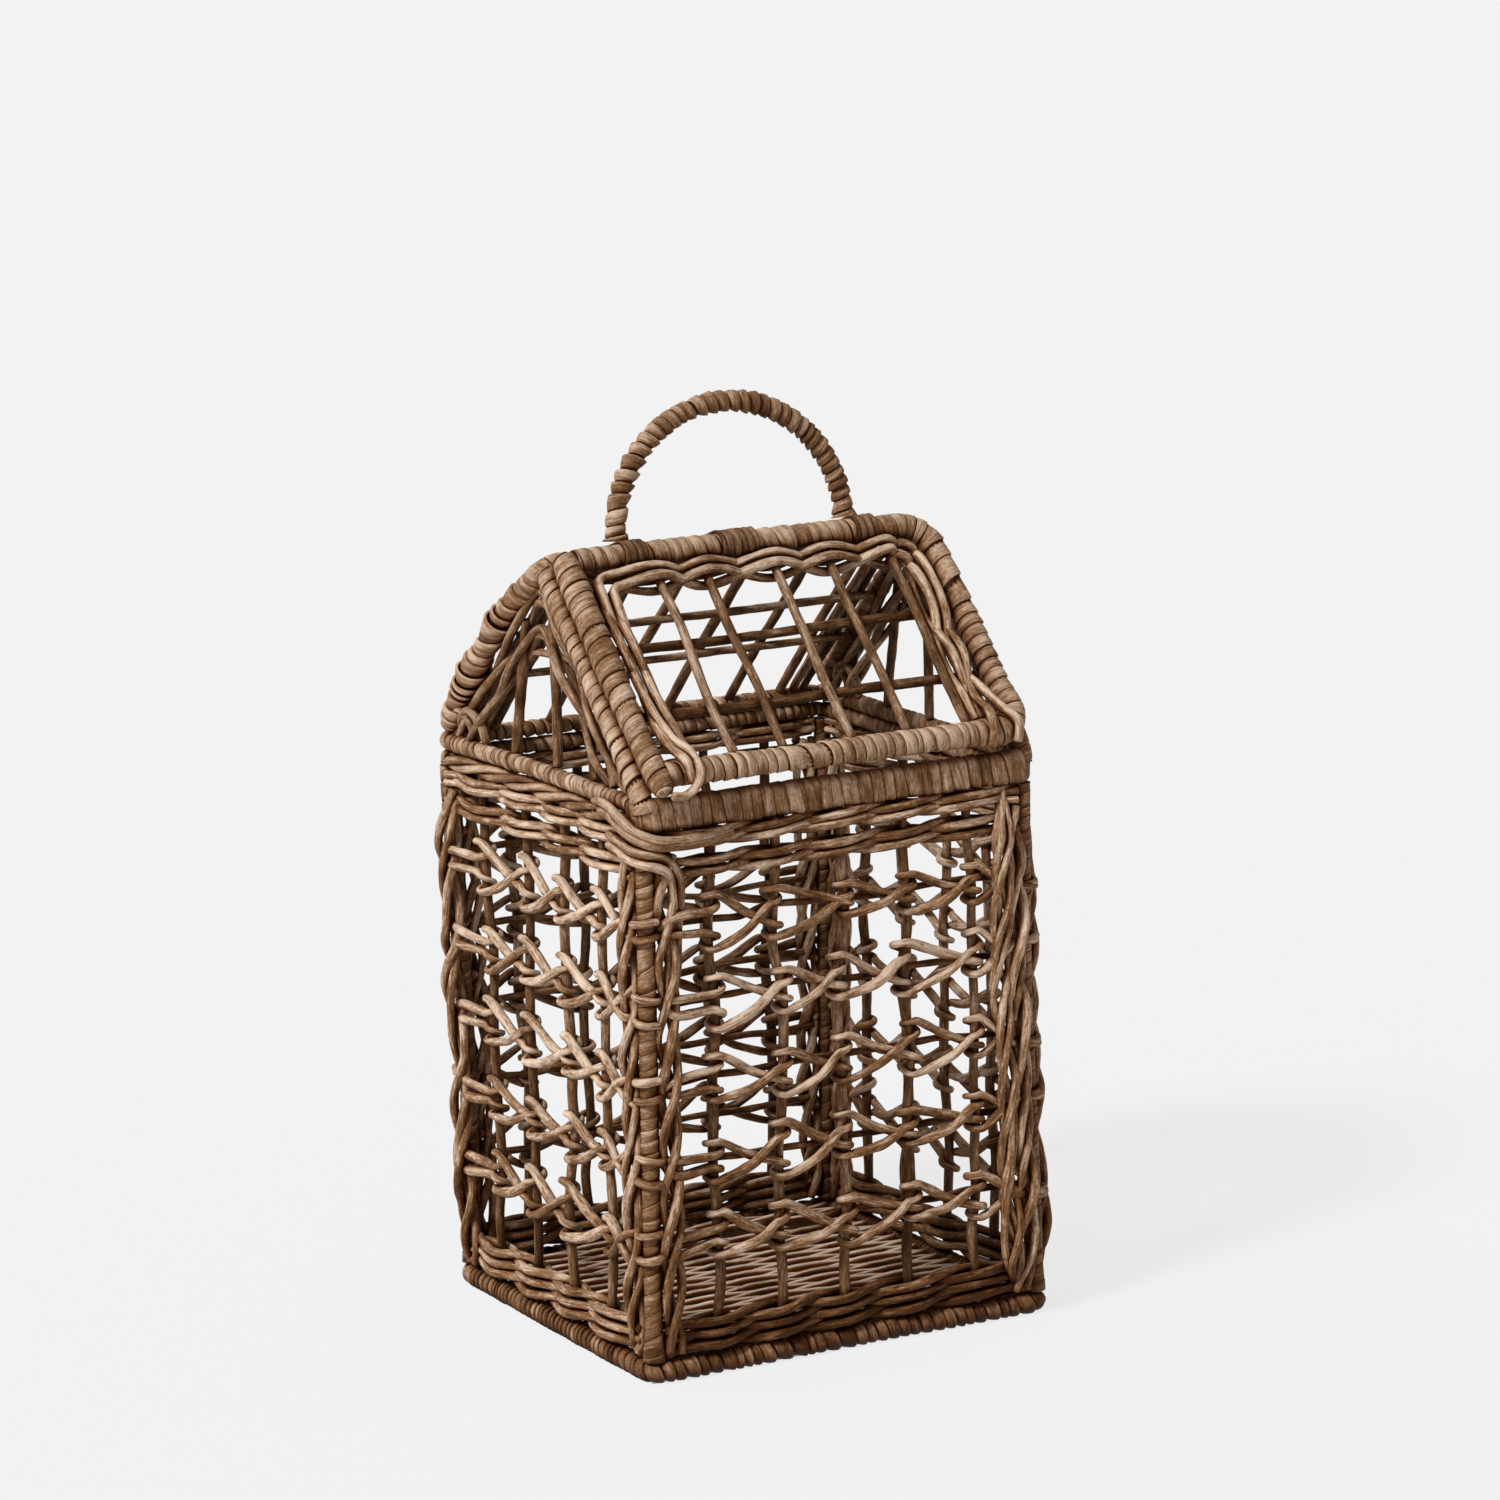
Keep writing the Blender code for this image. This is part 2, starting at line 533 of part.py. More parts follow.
def add_lid(collection, materials):
    """The front slope of the roof: a bent closed frame, its bars, crossbars and border rods."""
    hinge = roof_anchor("lid_hinge_axis", HINGE_Y, HINGE_Z, SLOPE, collection)
    outline = rounded_rectangle(LID_HALF_WIDTH, LID_LENGTH / 2, LID_CORNER_RADIUS)
    points = [(x, y - LID_LENGTH / 2, 0) for x, y in outline]
    pieces = [rod("lid_frame", points, LID_POLE_RADIUS, collection, materials["wrapped_pole"], True, 2)]
    places = [FOOT_LASHING_HALF + BAR_SIDE_STEP - HANDLE_SPAN / 2]
    places += [share * LID_HALF_WIDTH for share in LID_INNER_BAR_SHARES]
    places.append(OUTER_BAR_X)
    end = LID_POLE_RADIUS + SEAT_GAP
    for index, x in enumerate(places, 1):
        points = [(x, -end, 0), (x, end - LID_LENGTH, 0)]
        pieces.append(rod(f"lid_bar_{index}", points, STAKE_RADIUS, collection, materials["stake"]))
    under = -STAKE_RADIUS - SEAT_GAP - BORDER_ROD_RADIUS
    reach = LID_HALF_WIDTH - end
    for level, share in zip(("upper", "lower"), LID_CROSSBAR_SHARES):
        y = -share * LID_LENGTH
        points = [(-reach, y, under), (reach, y, under)]
        pieces.append(rod(f"lid_crossbar_{level}", points, BORDER_ROD_RADIUS, collection, materials["stake"]))
    for index, name in enumerate(("outer", "inner")):
        step = BORDER_FIRST_STEP + index * BORDER_ROD_STEP
        side = -1 if index else 1
        length = lid_leg_end(LID_HALF_WIDTH - step)
        route = border_route(LID_HALF_WIDTH, places, length, step, -under, side)
        points = [(x, -y, z) for x, y, z in route]
        pieces.append(rod(f"lid_border_{name}", points, BORDER_ROD_RADIUS, collection, materials["weaver"]))
    for piece in pieces:
        piece.parent = hinge


def belt_loop(near, near_radius, far, far_radius, steps):
    """Points of a belt round two circles, given as angles and radii about the first circle's centre.

    The circles lie in the YZ plane. Each point's radius is widened a little, so that the straight runs
    between points stay outside the circle.
    """
    offset = far - near
    bearing = math.atan2(offset.y, offset.x)
    lean = math.asin((far_radius - near_radius) / offset.length)
    quarter = math.pi / 2
    half = steps // 2
    loop = []
    far_span = math.pi + 2 * lean
    for step in range(half):
        angle = bearing - quarter - lean + step * far_span / (half - 1)
        radius = far_radius / math.cos(far_span / (half - 1) / 2)
        loop.append(far + radius * Vector((math.cos(angle), math.sin(angle))))
    near_span = math.pi - 2 * lean
    for step in range(half):
        angle = bearing + quarter + lean + step * near_span / (half - 1)
        radius = near_radius / math.cos(near_span / (half - 1) / 2)
        loop.append(near + radius * Vector((math.cos(angle), math.sin(angle))))
    return loop


def cane_strip(name, points, width, guides, collection, material):
    """A flat cane along points that wind about the local Z axis. Its width lies along that axis."""
    half_width = width / 2
    half_thickness = CANE_THICKNESS / 2
    outline = [
        (half_thickness, -half_width),
        (half_thickness, half_width),
        (-half_thickness, half_width),
        (-half_thickness, -half_width),
    ]
    strip = curve_object(name, points)
    strip.data.twist_mode = "Z_UP"
    strip.data.bevel_mode = "OBJECT"
    strip.data.bevel_object = profile_object(name + "_outline", outline, guides)
    strip.data.materials.append(material)
    collection.objects.link(strip)
    return strip


def report_least_gap(strip, steps):
    """Prints how close each loop of a wound strip comes to the next, measured on the corners of its sections."""
    bpy.context.view_layer.update()
    depsgraph = bpy.context.evaluated_depsgraph_get()
    mesh = strip.evaluated_get(depsgraph).to_mesh()
    corners = len(strip.data.bevel_object.data.splines[0].points)
    spots = [vertex.co.copy() for vertex in mesh.vertices]
    loops = [spots[start : start + corners] for start in range(0, len(spots), corners)]
    pairs = [pair for pair in zip(loops, loops[steps:]) if len(pair[1]) == corners]
    least = min((here - there).length for near, far in pairs for here in near for there in far)
    print(f"{strip.name}: least gap to itself {least * 1000:.2f} mm")


def add_lashings(collection, guides, materials):
    """Cane that is wound round the ridge and the lid's upper rail together, so that the rail turns in it."""
    spread = SEAT_GAP + CANE_THICKNESS / 2
    ridge = Vector((0, RIDGE_HEIGHT))
    rail = Vector((HINGE_Y, HINGE_Z))
    loop = belt_loop(ridge, BACK_POLE_RADIUS + spread, rail, LID_POLE_RADIUS + spread, LASHING_STEPS)
    lashings = (
        ("handle_lashing_left", -HANDLE_SPAN / 2, FOOT_LASHING_LOOPS),
        ("hinge_lashing_middle", HINGE_LASHING_X, HINGE_LASHING_LOOPS),
        ("handle_lashing_right", HANDLE_SPAN / 2, FOOT_LASHING_LOOPS),
    )
    for name, x, loops in lashings:
        count = loops * len(loop)
        points = []
        for step in range(count + 1):
            place = loop[step % len(loop)]
            along = x + (step / count - 0.5) * loops * CANE_PITCH
            points.append((-place.y, place.x, along))
        strip = cane_strip(name, points, CANE_WIDTH, guides, collection, materials["lashing"])
        strip.matrix_world = Matrix(((0, 0, 1, 0), (0, 1, 0, 0), (-1, 0, 0, 0), (0, 0, 0, 1)))
        report_least_gap(strip, len(loop))


def handle_arch(foot, count):
    """Points at even steps along the handle: two straight legs and half an ellipse, in the XZ plane."""
    half_span = HANDLE_SPAN / 2
    shoulder = foot + HANDLE_LEG_RISE
    rise = RIDGE_HEIGHT + HANDLE_RISE - shoulder
    fine = [Vector((-half_span, 0, foot))]
    steps = 240
    for step in range(steps + 1):
        angle = math.pi * (1 - step / steps)
        fine.append(Vector((half_span * math.cos(angle), 0, shoulder + rise * math.sin(angle))))
    fine.append(Vector((half_span, 0, foot)))
    lengths = [0.0]
    for before, after in zip(fine, fine[1:]):
        lengths.append(lengths[-1] + (after - before).length)
    total = lengths[-1]
    even = []
    index = 0
    for step in range(count + 1):
        target = total * step / count
        while index < len(lengths) - 2 and lengths[index + 1] < target:
            index += 1
        share = (target - lengths[index]) / (lengths[index + 1] - lengths[index])
        even.append(fine[index].lerp(fine[index + 1], share))
    return even, total


def add_handle(collection, guides, materials):
    """The arched core and the flat cane that is wound up it, foot to foot."""
    belt_top = BACK_POLE_RADIUS + SEAT_GAP + CANE_THICKNESS
    climb = (HINGE_Z + LID_POLE_RADIUS - RIDGE_HEIGHT - BACK_POLE_RADIUS) / -HINGE_Y * HANDLE_CORE_RADIUS
    foot = RIDGE_HEIGHT + belt_top + climb + 2 * SEAT_GAP
    arch, length = handle_arch(foot, 28)
    rod("handle_pole", arch, HANDLE_CORE_RADIUS, collection, materials["stake"])
    guide_points, length = handle_arch(foot, 96)
    guide = curve_object("handle_line", guide_points)
    guide.hide_render = True
    guide.display_type = "WIRE"
    guides.objects.link(guide)
    steps = 8
    radius = (HANDLE_CORE_RADIUS + SEAT_GAP + CANE_THICKNESS / 2) / math.cos(math.pi / steps)
    pitch = length / (HANDLE_LOOPS + 1)
    width = pitch - HANDLE_LOOP_GAP
    points = []
    for step in range(HANDLE_LOOPS * steps + 1):
        angle = step * 2 * math.pi / steps
        along = pitch / 2 + step * pitch / steps
        points.append((radius * math.cos(angle), radius * math.sin(angle), along))
    winding = cane_strip("handle_winding", points, width, guides, collection, materials["wrapped_pole"])
    bend = winding.modifiers.new("Bend", "CURVE")
    bend.object = guide
    bend.deform_axis = "POS_Z"
    report_least_gap(winding, steps)


def main():
    clear_scene()
    collection = new_collection(COLLECTION_NAME)
    guides = new_collection(GUIDE_COLLECTION_NAME)
    materials = {name: cane_material(name, colour) for name, colour in COLOURS.items()}
    add_base(collection, guides, materials)
    add_floor(collection, materials)
    add_posts_and_stakes(collection, materials)
    add_wall_weave(collection, materials)
    add_top_rim(collection, materials)
    add_back_roof(collection, materials)
    add_gables(collection, materials)
    add_lid(collection, materials)
    add_lashings(collection, guides, materials)
    add_handle(collection, guides, materials)


main()
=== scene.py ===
"""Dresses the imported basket: every pole gets its wound cane, and every rod its own bent, uneven shape.

Lengths in the functions below are millimetres, in the frame's axes. Meshes are written in metres.
"""

import math

import bpy
import numpy as np
from mathutils import Matrix, Vector


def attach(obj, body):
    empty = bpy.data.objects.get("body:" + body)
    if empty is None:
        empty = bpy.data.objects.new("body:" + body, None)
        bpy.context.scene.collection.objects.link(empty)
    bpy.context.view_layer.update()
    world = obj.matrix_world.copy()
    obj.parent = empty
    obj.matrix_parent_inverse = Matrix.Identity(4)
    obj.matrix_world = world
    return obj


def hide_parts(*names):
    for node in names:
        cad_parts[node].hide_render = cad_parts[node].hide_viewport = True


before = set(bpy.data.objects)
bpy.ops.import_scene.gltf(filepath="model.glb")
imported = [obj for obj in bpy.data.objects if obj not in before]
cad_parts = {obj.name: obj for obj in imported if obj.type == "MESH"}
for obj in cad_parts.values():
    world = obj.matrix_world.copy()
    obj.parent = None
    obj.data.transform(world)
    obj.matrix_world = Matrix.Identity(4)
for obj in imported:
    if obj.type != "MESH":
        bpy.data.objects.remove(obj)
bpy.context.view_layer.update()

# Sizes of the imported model
HALF_WIDTH = 60.0
HALF_DEPTH = 55.0
BASE_R = 3.0
RIM_R = 2.25
RIM_CORNER = 4.0
RIM_LOW_Z = 153.55
RIM_HIGH_Z = 158.35
POST_X = 58.828
POST_Y = 53.828
POST_R = 2.4
STAKE_R = 1.4
WEAVER_R = 1.15
RIDGE_Z = 215.0
ROOF_RISE = 54.4
SLOPE = math.atan2(ROOF_RISE, POST_Y)
COS = math.cos(SLOPE)
SIN = math.sin(SLOPE)
TAN = math.tan(SLOPE)
HINGE_Y = -7.1279
HINGE_Z = 216.5755
LID_HALF = 56.23
LID_LENGTH = 70.0
LID_UPPER_BEND = 9.0
LID_LOWER_BEND = 6.5
LID_BARS = (-31.03, -16.0, 5.1, 22.5, 41.43)
HANDLE_HALF = 36.23
HINGE_LASHING_X = -3.94
WIDE_STAKES = (-40.0, -20.0, 0.0, 20.0, 40.0)
NARROW_STAKES = (-33.0, -11.0, 11.0, 33.0)
WEAVE_ROWS = (37.5, 59.6, 81.7, 103.8, 125.9)
# Each wall's name, quarter turn and reach, its stakes, and how far out its posts and its twisted columns are
WALLS = (
    ("front", 0, HALF_DEPTH, WIDE_STAKES, POST_X, 53.48),
    ("right", 1, HALF_WIDTH, NARROW_STAKES, POST_Y, 48.48),
    ("back", 2, HALF_DEPTH, WIDE_STAKES, POST_X, 53.48),
    ("left", 3, HALF_WIDTH, NARROW_STAKES, POST_Y, 48.48),
)

# Sizes that only the dressing and the view have. STEP is the spacing of points along a wound pole.
STEP = 0.6
BEND_STEPS = 6
POST_INWARD = 1.17
POST_GRIP = 3.5
COLUMN_FOOT = 7.6
COLUMN_HEAD = 149.5
GABLE_FOOT_Z = 160.9
HANDLE_ARCH_HALF = 35.9
HANDLE_LEAN = 4.2
HANDLE_RISE = 34.8
HANDLE_FOOT_Z = 219.6
CAMERA_ANGLES = (-29.51, 11.77, -0.94)
CAMERA_AIM_Z = 110
CAMERA_OFFSETS = (2.86, 46.5, 1531.1)
# How far up its rise a weaver is at each angle round a stake
STAKE_TURN = (
    (-40, 0), (0, 0.10), (60, 0.26), (120, 0.45), (180, 0.62), (240, 0.78), (300, 0.92), (345, 1.0),
    (392, 0.98),
)


def unit(vectors):
    return vectors / np.maximum(np.linalg.norm(vectors, axis=-1, keepdims=True), 1e-9)


def drift(rng, length, step):
    """A smooth random function along a length, about -1 to 1."""
    knots = rng.uniform(-1, 1, int(length / step) + 4)

    def value(s):
        t = np.clip(np.asarray(s, float) / step, 0, len(knots) - 2.001)
        low = np.floor(t).astype(int)
        f = t - low
        f = f * f * (3 - 2 * f)
        return knots[low] * (1 - f) + knots[low + 1] * f

    return value


def distances(points):
    """How far along a line each of its points is."""
    return np.concatenate([[0], np.cumsum(np.linalg.norm(np.diff(points[:, :3], axis=0), axis=1))])


def read_off(targets, places, table):
    """The table's columns at the targets. places says how far along each row is."""
    return np.stack([np.interp(targets, places, column) for column in table.T], axis=-1)


def circle(angle):
    return np.stack([np.cos(angle), np.sin(angle)], axis=1)


def arc(cx, cy, radius, start, stop, steps=BEND_STEPS):
    angles = np.linspace(start, stop, steps + 1)
    return [(cx + radius * math.cos(a), cy + radius * math.sin(a)) for a in angles]


def even(fine, spacing):
    """Points at even steps along a finely sampled line."""
    lengths = distances(fine)
    count = max(int(round(lengths[-1] / spacing)), 3)
    targets = np.linspace(0, lengths[-1], count + 1)
    return read_off(targets, lengths, fine)


def smooth(points, spacing):
    """A centripetal Catmull-Rom curve through the points, at even steps."""
    p = np.asarray(points, float)
    p = np.vstack([2 * p[0] - p[1], p, 2 * p[-1] - p[-2]])
    fine = []
    f = np.linspace(0, 1, 12, endpoint=False)[:, None]
    for i in range(1, len(p) - 2):
        a, b, c, d = p[i - 1 : i + 3]
        k1, k2, k3 = [max(np.linalg.norm(leg[:3]), 1e-6) ** 0.5 for leg in (b - a, c - b, d - c)]
        m1 = k2 * ((b - a) / k1 - (c - a) / (k1 + k2) + (c - b) / k2)
        m2 = k2 * ((c - b) / k2 - (d - b) / (k2 + k3) + (d - c) / k3)
        leave = (2 * f**3 - 3 * f**2 + 1) * b + (f**3 - 2 * f**2 + f) * m1
        fine.append(leave + (3 * f**2 - 2 * f**3) * c + (f**3 - f**2) * m2)
    return even(np.vstack(fine + [p[-2:-1]]), spacing)


def edge_padded(tables, count):
    """Repeats each table's first and last rows."""
    return [np.pad(table, ((count, count), (0, 0)), mode="edge") for table in tables]


def carried_frame(path, closed=False):
    """Tangents and two normals that turn as little as possible along the path."""
    if closed:
        tangent = unit(np.roll(path, -1, axis=0) - np.roll(path, 1, axis=0))
    else:
        tangent = unit(np.gradient(path, axis=0))
    seed = np.array((0.0, 0.0, 1.0)) if abs(tangent[0][2]) < 0.8 else np.array((0.0, 1.0, 0.0))
    normal = np.empty_like(path)
    current = seed - tangent[0] * (seed @ tangent[0])
    current /= np.linalg.norm(current)
    for i, t in enumerate(tangent):
        current = current - t * (current @ t)
        current = current / max(math.sqrt(current @ current), 1e-9)
        normal[i] = current
    if closed:
        last = current - tangent[0] * (current @ tangent[0])
        last = last / np.linalg.norm(last)
        cross = np.cross(tangent[0], last)
        error = math.atan2(normal[0] @ cross, normal[0] @ last)
        angle = np.linspace(0, error, len(path), endpoint=False)[:, None]
        side = np.cross(tangent, normal)
        normal = normal * np.cos(angle) + side * np.sin(angle)
    return tangent, normal, np.cross(tangent, normal)


class Bundle:
    """Collects strands and wound strips, and makes one mesh object of them."""

    def __init__(self, seed):
        self.rng = np.random.default_rng(seed)
        self.spots = []
        self.faces = []
        self.uvs = []
        self.tones = []
        self.painted_lit_shares = []
        self.count = 0

    def grid(self, spots, tone, painted_lit_share, across, along, around=False, flip=False):
        """Adds a grid of points as quads. across and along are distances for the grain, in millimetres."""
        rows, columns = spots.shape[:2]
        index = self.count + np.arange(rows * columns).reshape(rows, columns)
        if around:
            index = np.concatenate([index, index[:, :1]], axis=1)
        quads = np.stack([index[:-1, :-1], index[:-1, 1:], index[1:, 1:], index[1:, :-1]], axis=-1)
        u = np.broadcast_to(across, (rows, index.shape[1]))
        v = np.broadcast_to(along, (rows, index.shape[1]))
        uv = np.stack([u, v], axis=-1) + self.rng.uniform(0, 400, 2)
        corners = np.stack([uv[:-1, :-1], uv[:-1, 1:], uv[1:, 1:], uv[1:, :-1]], axis=2)
        flat = spots.reshape(-1, 3)
        quads = quads.reshape(-1, 4)
        corners = corners.reshape(-1, 4, 2)
        local = quads - self.count
        diagonals = flat[local[:, 2]] - flat[local[:, 0]], flat[local[:, 3]] - flat[local[:, 1]]
        size = np.linalg.norm(np.cross(*diagonals), axis=1)
        keep = size > 1e-4
        way = slice(None, None, -1 if flip else 1)
        self.faces.append(quads[keep][:, way])
        self.uvs.append(corners[keep][:, way])
        self.spots.append(flat)
        self.tones.append(np.broadcast_to(tone, (rows, columns)).reshape(-1))
        self.painted_lit_shares.append(np.broadcast_to(painted_lit_share, (rows, columns)).reshape(-1))
        self.count += len(flat)

    def rod(self, points, radius, tone=None, sides=10, spacing=0.9, wobble=0.1, rough=0.05, painted_lit_share=1.0):
        """A round rod along the points, a little uneven, with rounded cut ends.

        A fourth number at each point gives the thickness there, as a share of the radius.
        """
        rng = self.rng
        path = smooth(points, spacing)
        swell = path[:, 3] if path.shape[1] > 3 else 1.0
        path = path[:, :3]
        if tone is None:
            tone = rng.uniform(0.25, 0.75)
        tangent, normal, side = carried_frame(path)
        s = np.arange(len(path)) * spacing

        def wander(step):
            return drift(rng, s[-1] + 1, step)(s)

        bend = (wander(7) * wobble)[:, None]
        lean = (wander(9) * wobble)[:, None]
        path = path + normal * bend + side * lean
        uneven = wander(3.1) + 0.6 * wander(11)
        thick = radius * swell * (1 + rough * uneven)
        shade = tone + 0.10 * wander(8) + 0.05 * wander(2)
        # three smaller rings beyond each tip, listed here from the outermost inwards
        cap = np.array((0.05, 0.62, 0.9))
        out = (np.array((0.30, 0.26, 0.12)) * radius)[:, None]
        path = np.vstack([path[0] - tangent[0] * out, path, path[-1] + tangent[-1] * out[::-1]])
        normal, side = edge_padded((normal, side), 3)
        thick = np.pad(thick, 3, mode="edge")
        thick[:3] *= cap
        thick[-3:] *= cap[::-1]
        shade = np.pad(shade, 3, mode="edge")
        shade[[1, 2, -3, -2]] -= 0.1
        s = np.concatenate([[-1.2, -0.8, -0.4], s, s[-1] + np.array((0.4, 0.8, 1.2))])
        angle = np.arange(sides) * 2 * math.pi / sides
        oval = 1 + 0.05 * np.cos(2 * (angle + rng.uniform(0, math.pi)))
        wide = (thick[:, None] * oval)[..., None]
        facing = np.cos(angle)[:, None] * normal[:, None] + np.sin(angle)[:, None] * side[:, None]
        around = np.arange(sides + 1) * 2 * math.pi * radius / sides
        self.grid(path[:, None] + wide * facing, shade[:, None], painted_lit_share, around, s[:, None], around=True)

    def wind(
        self, path, radius, pitch, closed=False, section=None, axes=None, steps=16, thickness=0.5, dome=0.10,
        uneven=0.22, jitter=0.12, tilt=0.12, dark_every=0, tone=0.55, spread=0.16, taper=None, pace=None,
        edge=0.014, lap=0.16, core=True,
    ):
        """Flat cane wound edge to edge round a pole, as one strip that turns and turns.

        section gives the outline that the strip lies on as (points, normals) in the pole's two normals, and
        without it the outline is a circle. taper gives the radius as a share of its own along the pole, and
        pace the turns' width likewise.
        """
        rng = self.rng
        if axes is None:
            normal, side = carried_frame(path, closed)[1:]
        else:
            normal, side = [np.broadcast_to(np.array(axis, float), path.shape) for axis in axes]
        if closed:
            path, normal, side = [np.vstack([table, table[:1]]) for table in (path, normal, side)]
        s = distances(path)
        length = s[-1]
        turns = max(int(round(length / pitch)), 2)
        widths = np.exp(rng.normal(0, uneven, turns))
        if pace is not None:
            widths = widths * np.interp(np.arange(turns) / turns, *pace)
        marks = np.concatenate([[0], np.cumsum(widths)])
        marks *= length / marks[-1]
        knots = np.arange(turns + 1)

        def place(turn):
            whole = np.floor(turn / turns) if closed else 0
            return np.interp(turn - whole * turns, knots, marks) + whole * length

        first = 0 if closed else -1
        rows = np.arange((turns - first) * steps + 1) / steps + first

        def wander(step):
            return drift(rng, len(rows), step)(np.arange(len(rows)))

        narrow = 0.03 * wander(steps * 0.8)
        if dark_every:
            phase = rows + rng.uniform(0, dark_every)
            narrow = narrow + 0.16 * np.clip(np.cos(2 * math.pi * phase / dark_every) * 3 - 2, 0, 1)
        across = np.array((0.0, edge, 3.4 * edge, 0.5, 1 - 3.4 * edge, 1 - edge, 1.0))
        profile = np.array((-1.0, -0.35, 0.35, 1.0, 0.35, -0.35, -1.0))
        height = np.where(profile < 0, profile * thickness, profile * dome)
        along = place(rows[:, None] + (0.5 + (across - 0.5) * (1 - narrow[:, None])))
        lift = jitter * wander(steps * 1.3)
        slant = lap + tilt * wander(steps * 2.1)
        rise = height + lift[:, None] + slant[:, None] * (across - 0.5) * 2
        if closed:
            ease = np.clip(np.minimum(rows, turns - rows) / 2, 0, 1)
            rise = height + ease[:, None] * (rise - height)
            along = np.mod(along, length)
        if section is None:
            out = circle(rows * 2 * math.pi)
            at = radius * out
            girth = 2 * math.pi * radius
        else:
            outline, normals = section
            share = np.mod(rows, 1) * len(outline)
            low = np.floor(share).astype(int) % len(outline)
            high = (low + 1) % len(outline)
            f = (share - np.floor(share))[:, None]
            at, out = [table[low] * (1 - f) + table[high] * f for table in section]
            girth = np.linalg.norm(outline - np.roll(outline, 1, axis=0), axis=1).sum()
        size = 1.0 if taper is None else np.interp(along / length, *taper)
        spots, n, b = [read_off(along, s, table) for table in (path, normal, side)]
        for k, way in ((0, n), (1, b)):
            spots = spots + (at[:, k : k + 1] * size + out[:, k : k + 1] * rise)[..., None] * way
        shade = tone + spread * wander(steps * 0.9)
        # painted highlight along the raised edge of each turn, in the last columns; the next row paints shade
        # into the grooves at both edges of a turn
        shade = shade[:, None] + 0.06 * wander(5)[:, None] + np.array((0, 0, 0, 0, 0.04, 0.16, 0.24))
        painted_lit_share = np.array((0.15, 0.55, 0.95, 1.0, 1.0, 1.0, 0.85))
        grain = across * np.median(widths) * length / widths.sum()
        self.grid(spots, shade, painted_lit_share, grain, (rows * girth)[:, None], flip=True)
        if core:
            self.core(path, radius, section, normal, side, s, taper, closed, thickness)

    def core(self, path, radius, section, normal, side, s, taper, closed, thickness):
        """The pole under a winding, with flat ends, painted dark as the shade that shows between the turns.
        """
        if section is None:
            normals = circle(np.arange(14) * 2 * math.pi / 14)
            outline = normals * radius
        else:
            outline, normals = section
        shape = outline - normals * (thickness * 0.55)
        size = np.ones(len(path)) if taper is None else np.interp(s / s[-1], *taper)
        if not closed:
            path, normal, side = edge_padded((path, normal, side), 1)
            size = np.pad(size, 1, mode="edge")
            size[[0, -1]] *= 0.02
            s = np.concatenate([[-1], s, [s[-1] + 1]])
        spots = path[:, None] + (size[:, None] * shape[:, 0])[..., None] * normal[:, None]
        spots = spots + (size[:, None] * shape[:, 1])[..., None] * side[:, None]
        self.grid(spots, 0.1, 0.15, np.arange(len(shape) + 1), s[:, None], around=True)

    def piece(self, name, body, slot, *nodes):
        """Makes the object, and lets it stand for the nodes."""
        spots = np.vstack(self.spots)
        if body == "basket":
            spots = out_of_square(spots)
        spots = spots * 0.001
        faces = np.vstack(self.faces)
        uvs = np.concatenate(self.uvs).reshape(-1, 2)
        mesh = bpy.data.meshes.new(name)
        mesh.vertices.add(len(spots))
        mesh.vertices.foreach_set("co", spots.astype(np.float32).ravel())
        mesh.loops.add(faces.size)
        mesh.loops.foreach_set("vertex_index", faces.astype(np.int32).ravel())
        mesh.polygons.add(len(faces))
        mesh.polygons.foreach_set("loop_start", np.arange(0, faces.size, 4, dtype=np.int32))
        mesh.update(calc_edges=True)
        mesh.uv_layers.new(name="grain").data.foreach_set("uv", uvs.astype(np.float32).ravel())
        facing = np.empty(len(spots) * 3, np.float32)
        mesh.vertex_normals.foreach_get("vector", facing)
        facing = facing.reshape(-1, 3)
        # painted light and shade: the sides that face up and out are painted lighter, and the foot is painted
        # darker, most of all in front
        painted_shading = 0.15 * facing[:, 2] + 0.06 * (facing * unit(spots * (1, 1, 0))).sum(axis=1)
        low = np.clip(1 - spots[:, 2] / 0.045, 0, 1)
        front = np.clip(-facing[:, 1], 0, 1) * np.clip(1 - spots[:, 2] / 0.10, 0, 1)
        painted_shading = painted_shading - (0.13 * low + 0.17 * front) * (slot != "floor")
        # the second layer is a painted shade share: 1 where a surface is open, lower in grooves, nooks and
        # hidden cores, and it darkens the colour there
        layers = {"tone": np.concatenate(self.tones) + painted_shading, "painted_lit_share": np.concatenate(self.painted_lit_shares)}
        for label, values in layers.items():
            layer = mesh.attributes.new(label, "FLOAT", "POINT")
            layer.data.foreach_set("value", values.astype(np.float32))
        mesh.shade_smooth()
        mesh.materials.append(LOOKS[slot])
        item = add_object(name, mesh)
        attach(item, body)
        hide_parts(*nodes)


def add_object(name, data):
    item = bpy.data.objects.new(name, data)
    bpy.context.scene.collection.objects.link(item)
    return item


def out_of_square(spots):
    """A hand-made basket's small errors: one rim corner and the base corner across from it stand out."""
    def ease(value):
        value = np.clip(value, 0, 1)
        return value * value * (3 - 2 * value)

    x, y, z = spots.T
    high = ease(-x / HALF_WIDTH) * ease(y / HALF_DEPTH) * ease((z - 50) / 110)
    low = ease(x / HALF_WIDTH) * ease(-y / HALF_DEPTH) * ease((110 - z) / 100)
    return spots + np.stack([2.6 * low - 2.8 * high, 1.4 * high - 1.0 * low, 0 * z], axis=1)


def belt(near, near_r, far, far_r, count):
    """The outline of a belt round two circles, as (points, normals) at even steps."""
    normals = circle(np.linspace(0, 2 * math.pi, 721))
    use_far = (normals @ far + far_r > normals @ near + near_r)[:, None]
    points = np.where(use_far, far + far_r * normals, near + near_r * normals)
    steps = distances(points)
    targets = np.linspace(0, steps[-1], count, endpoint=False)
    return read_off(targets, steps, points), unit(read_off(targets, steps, normals))


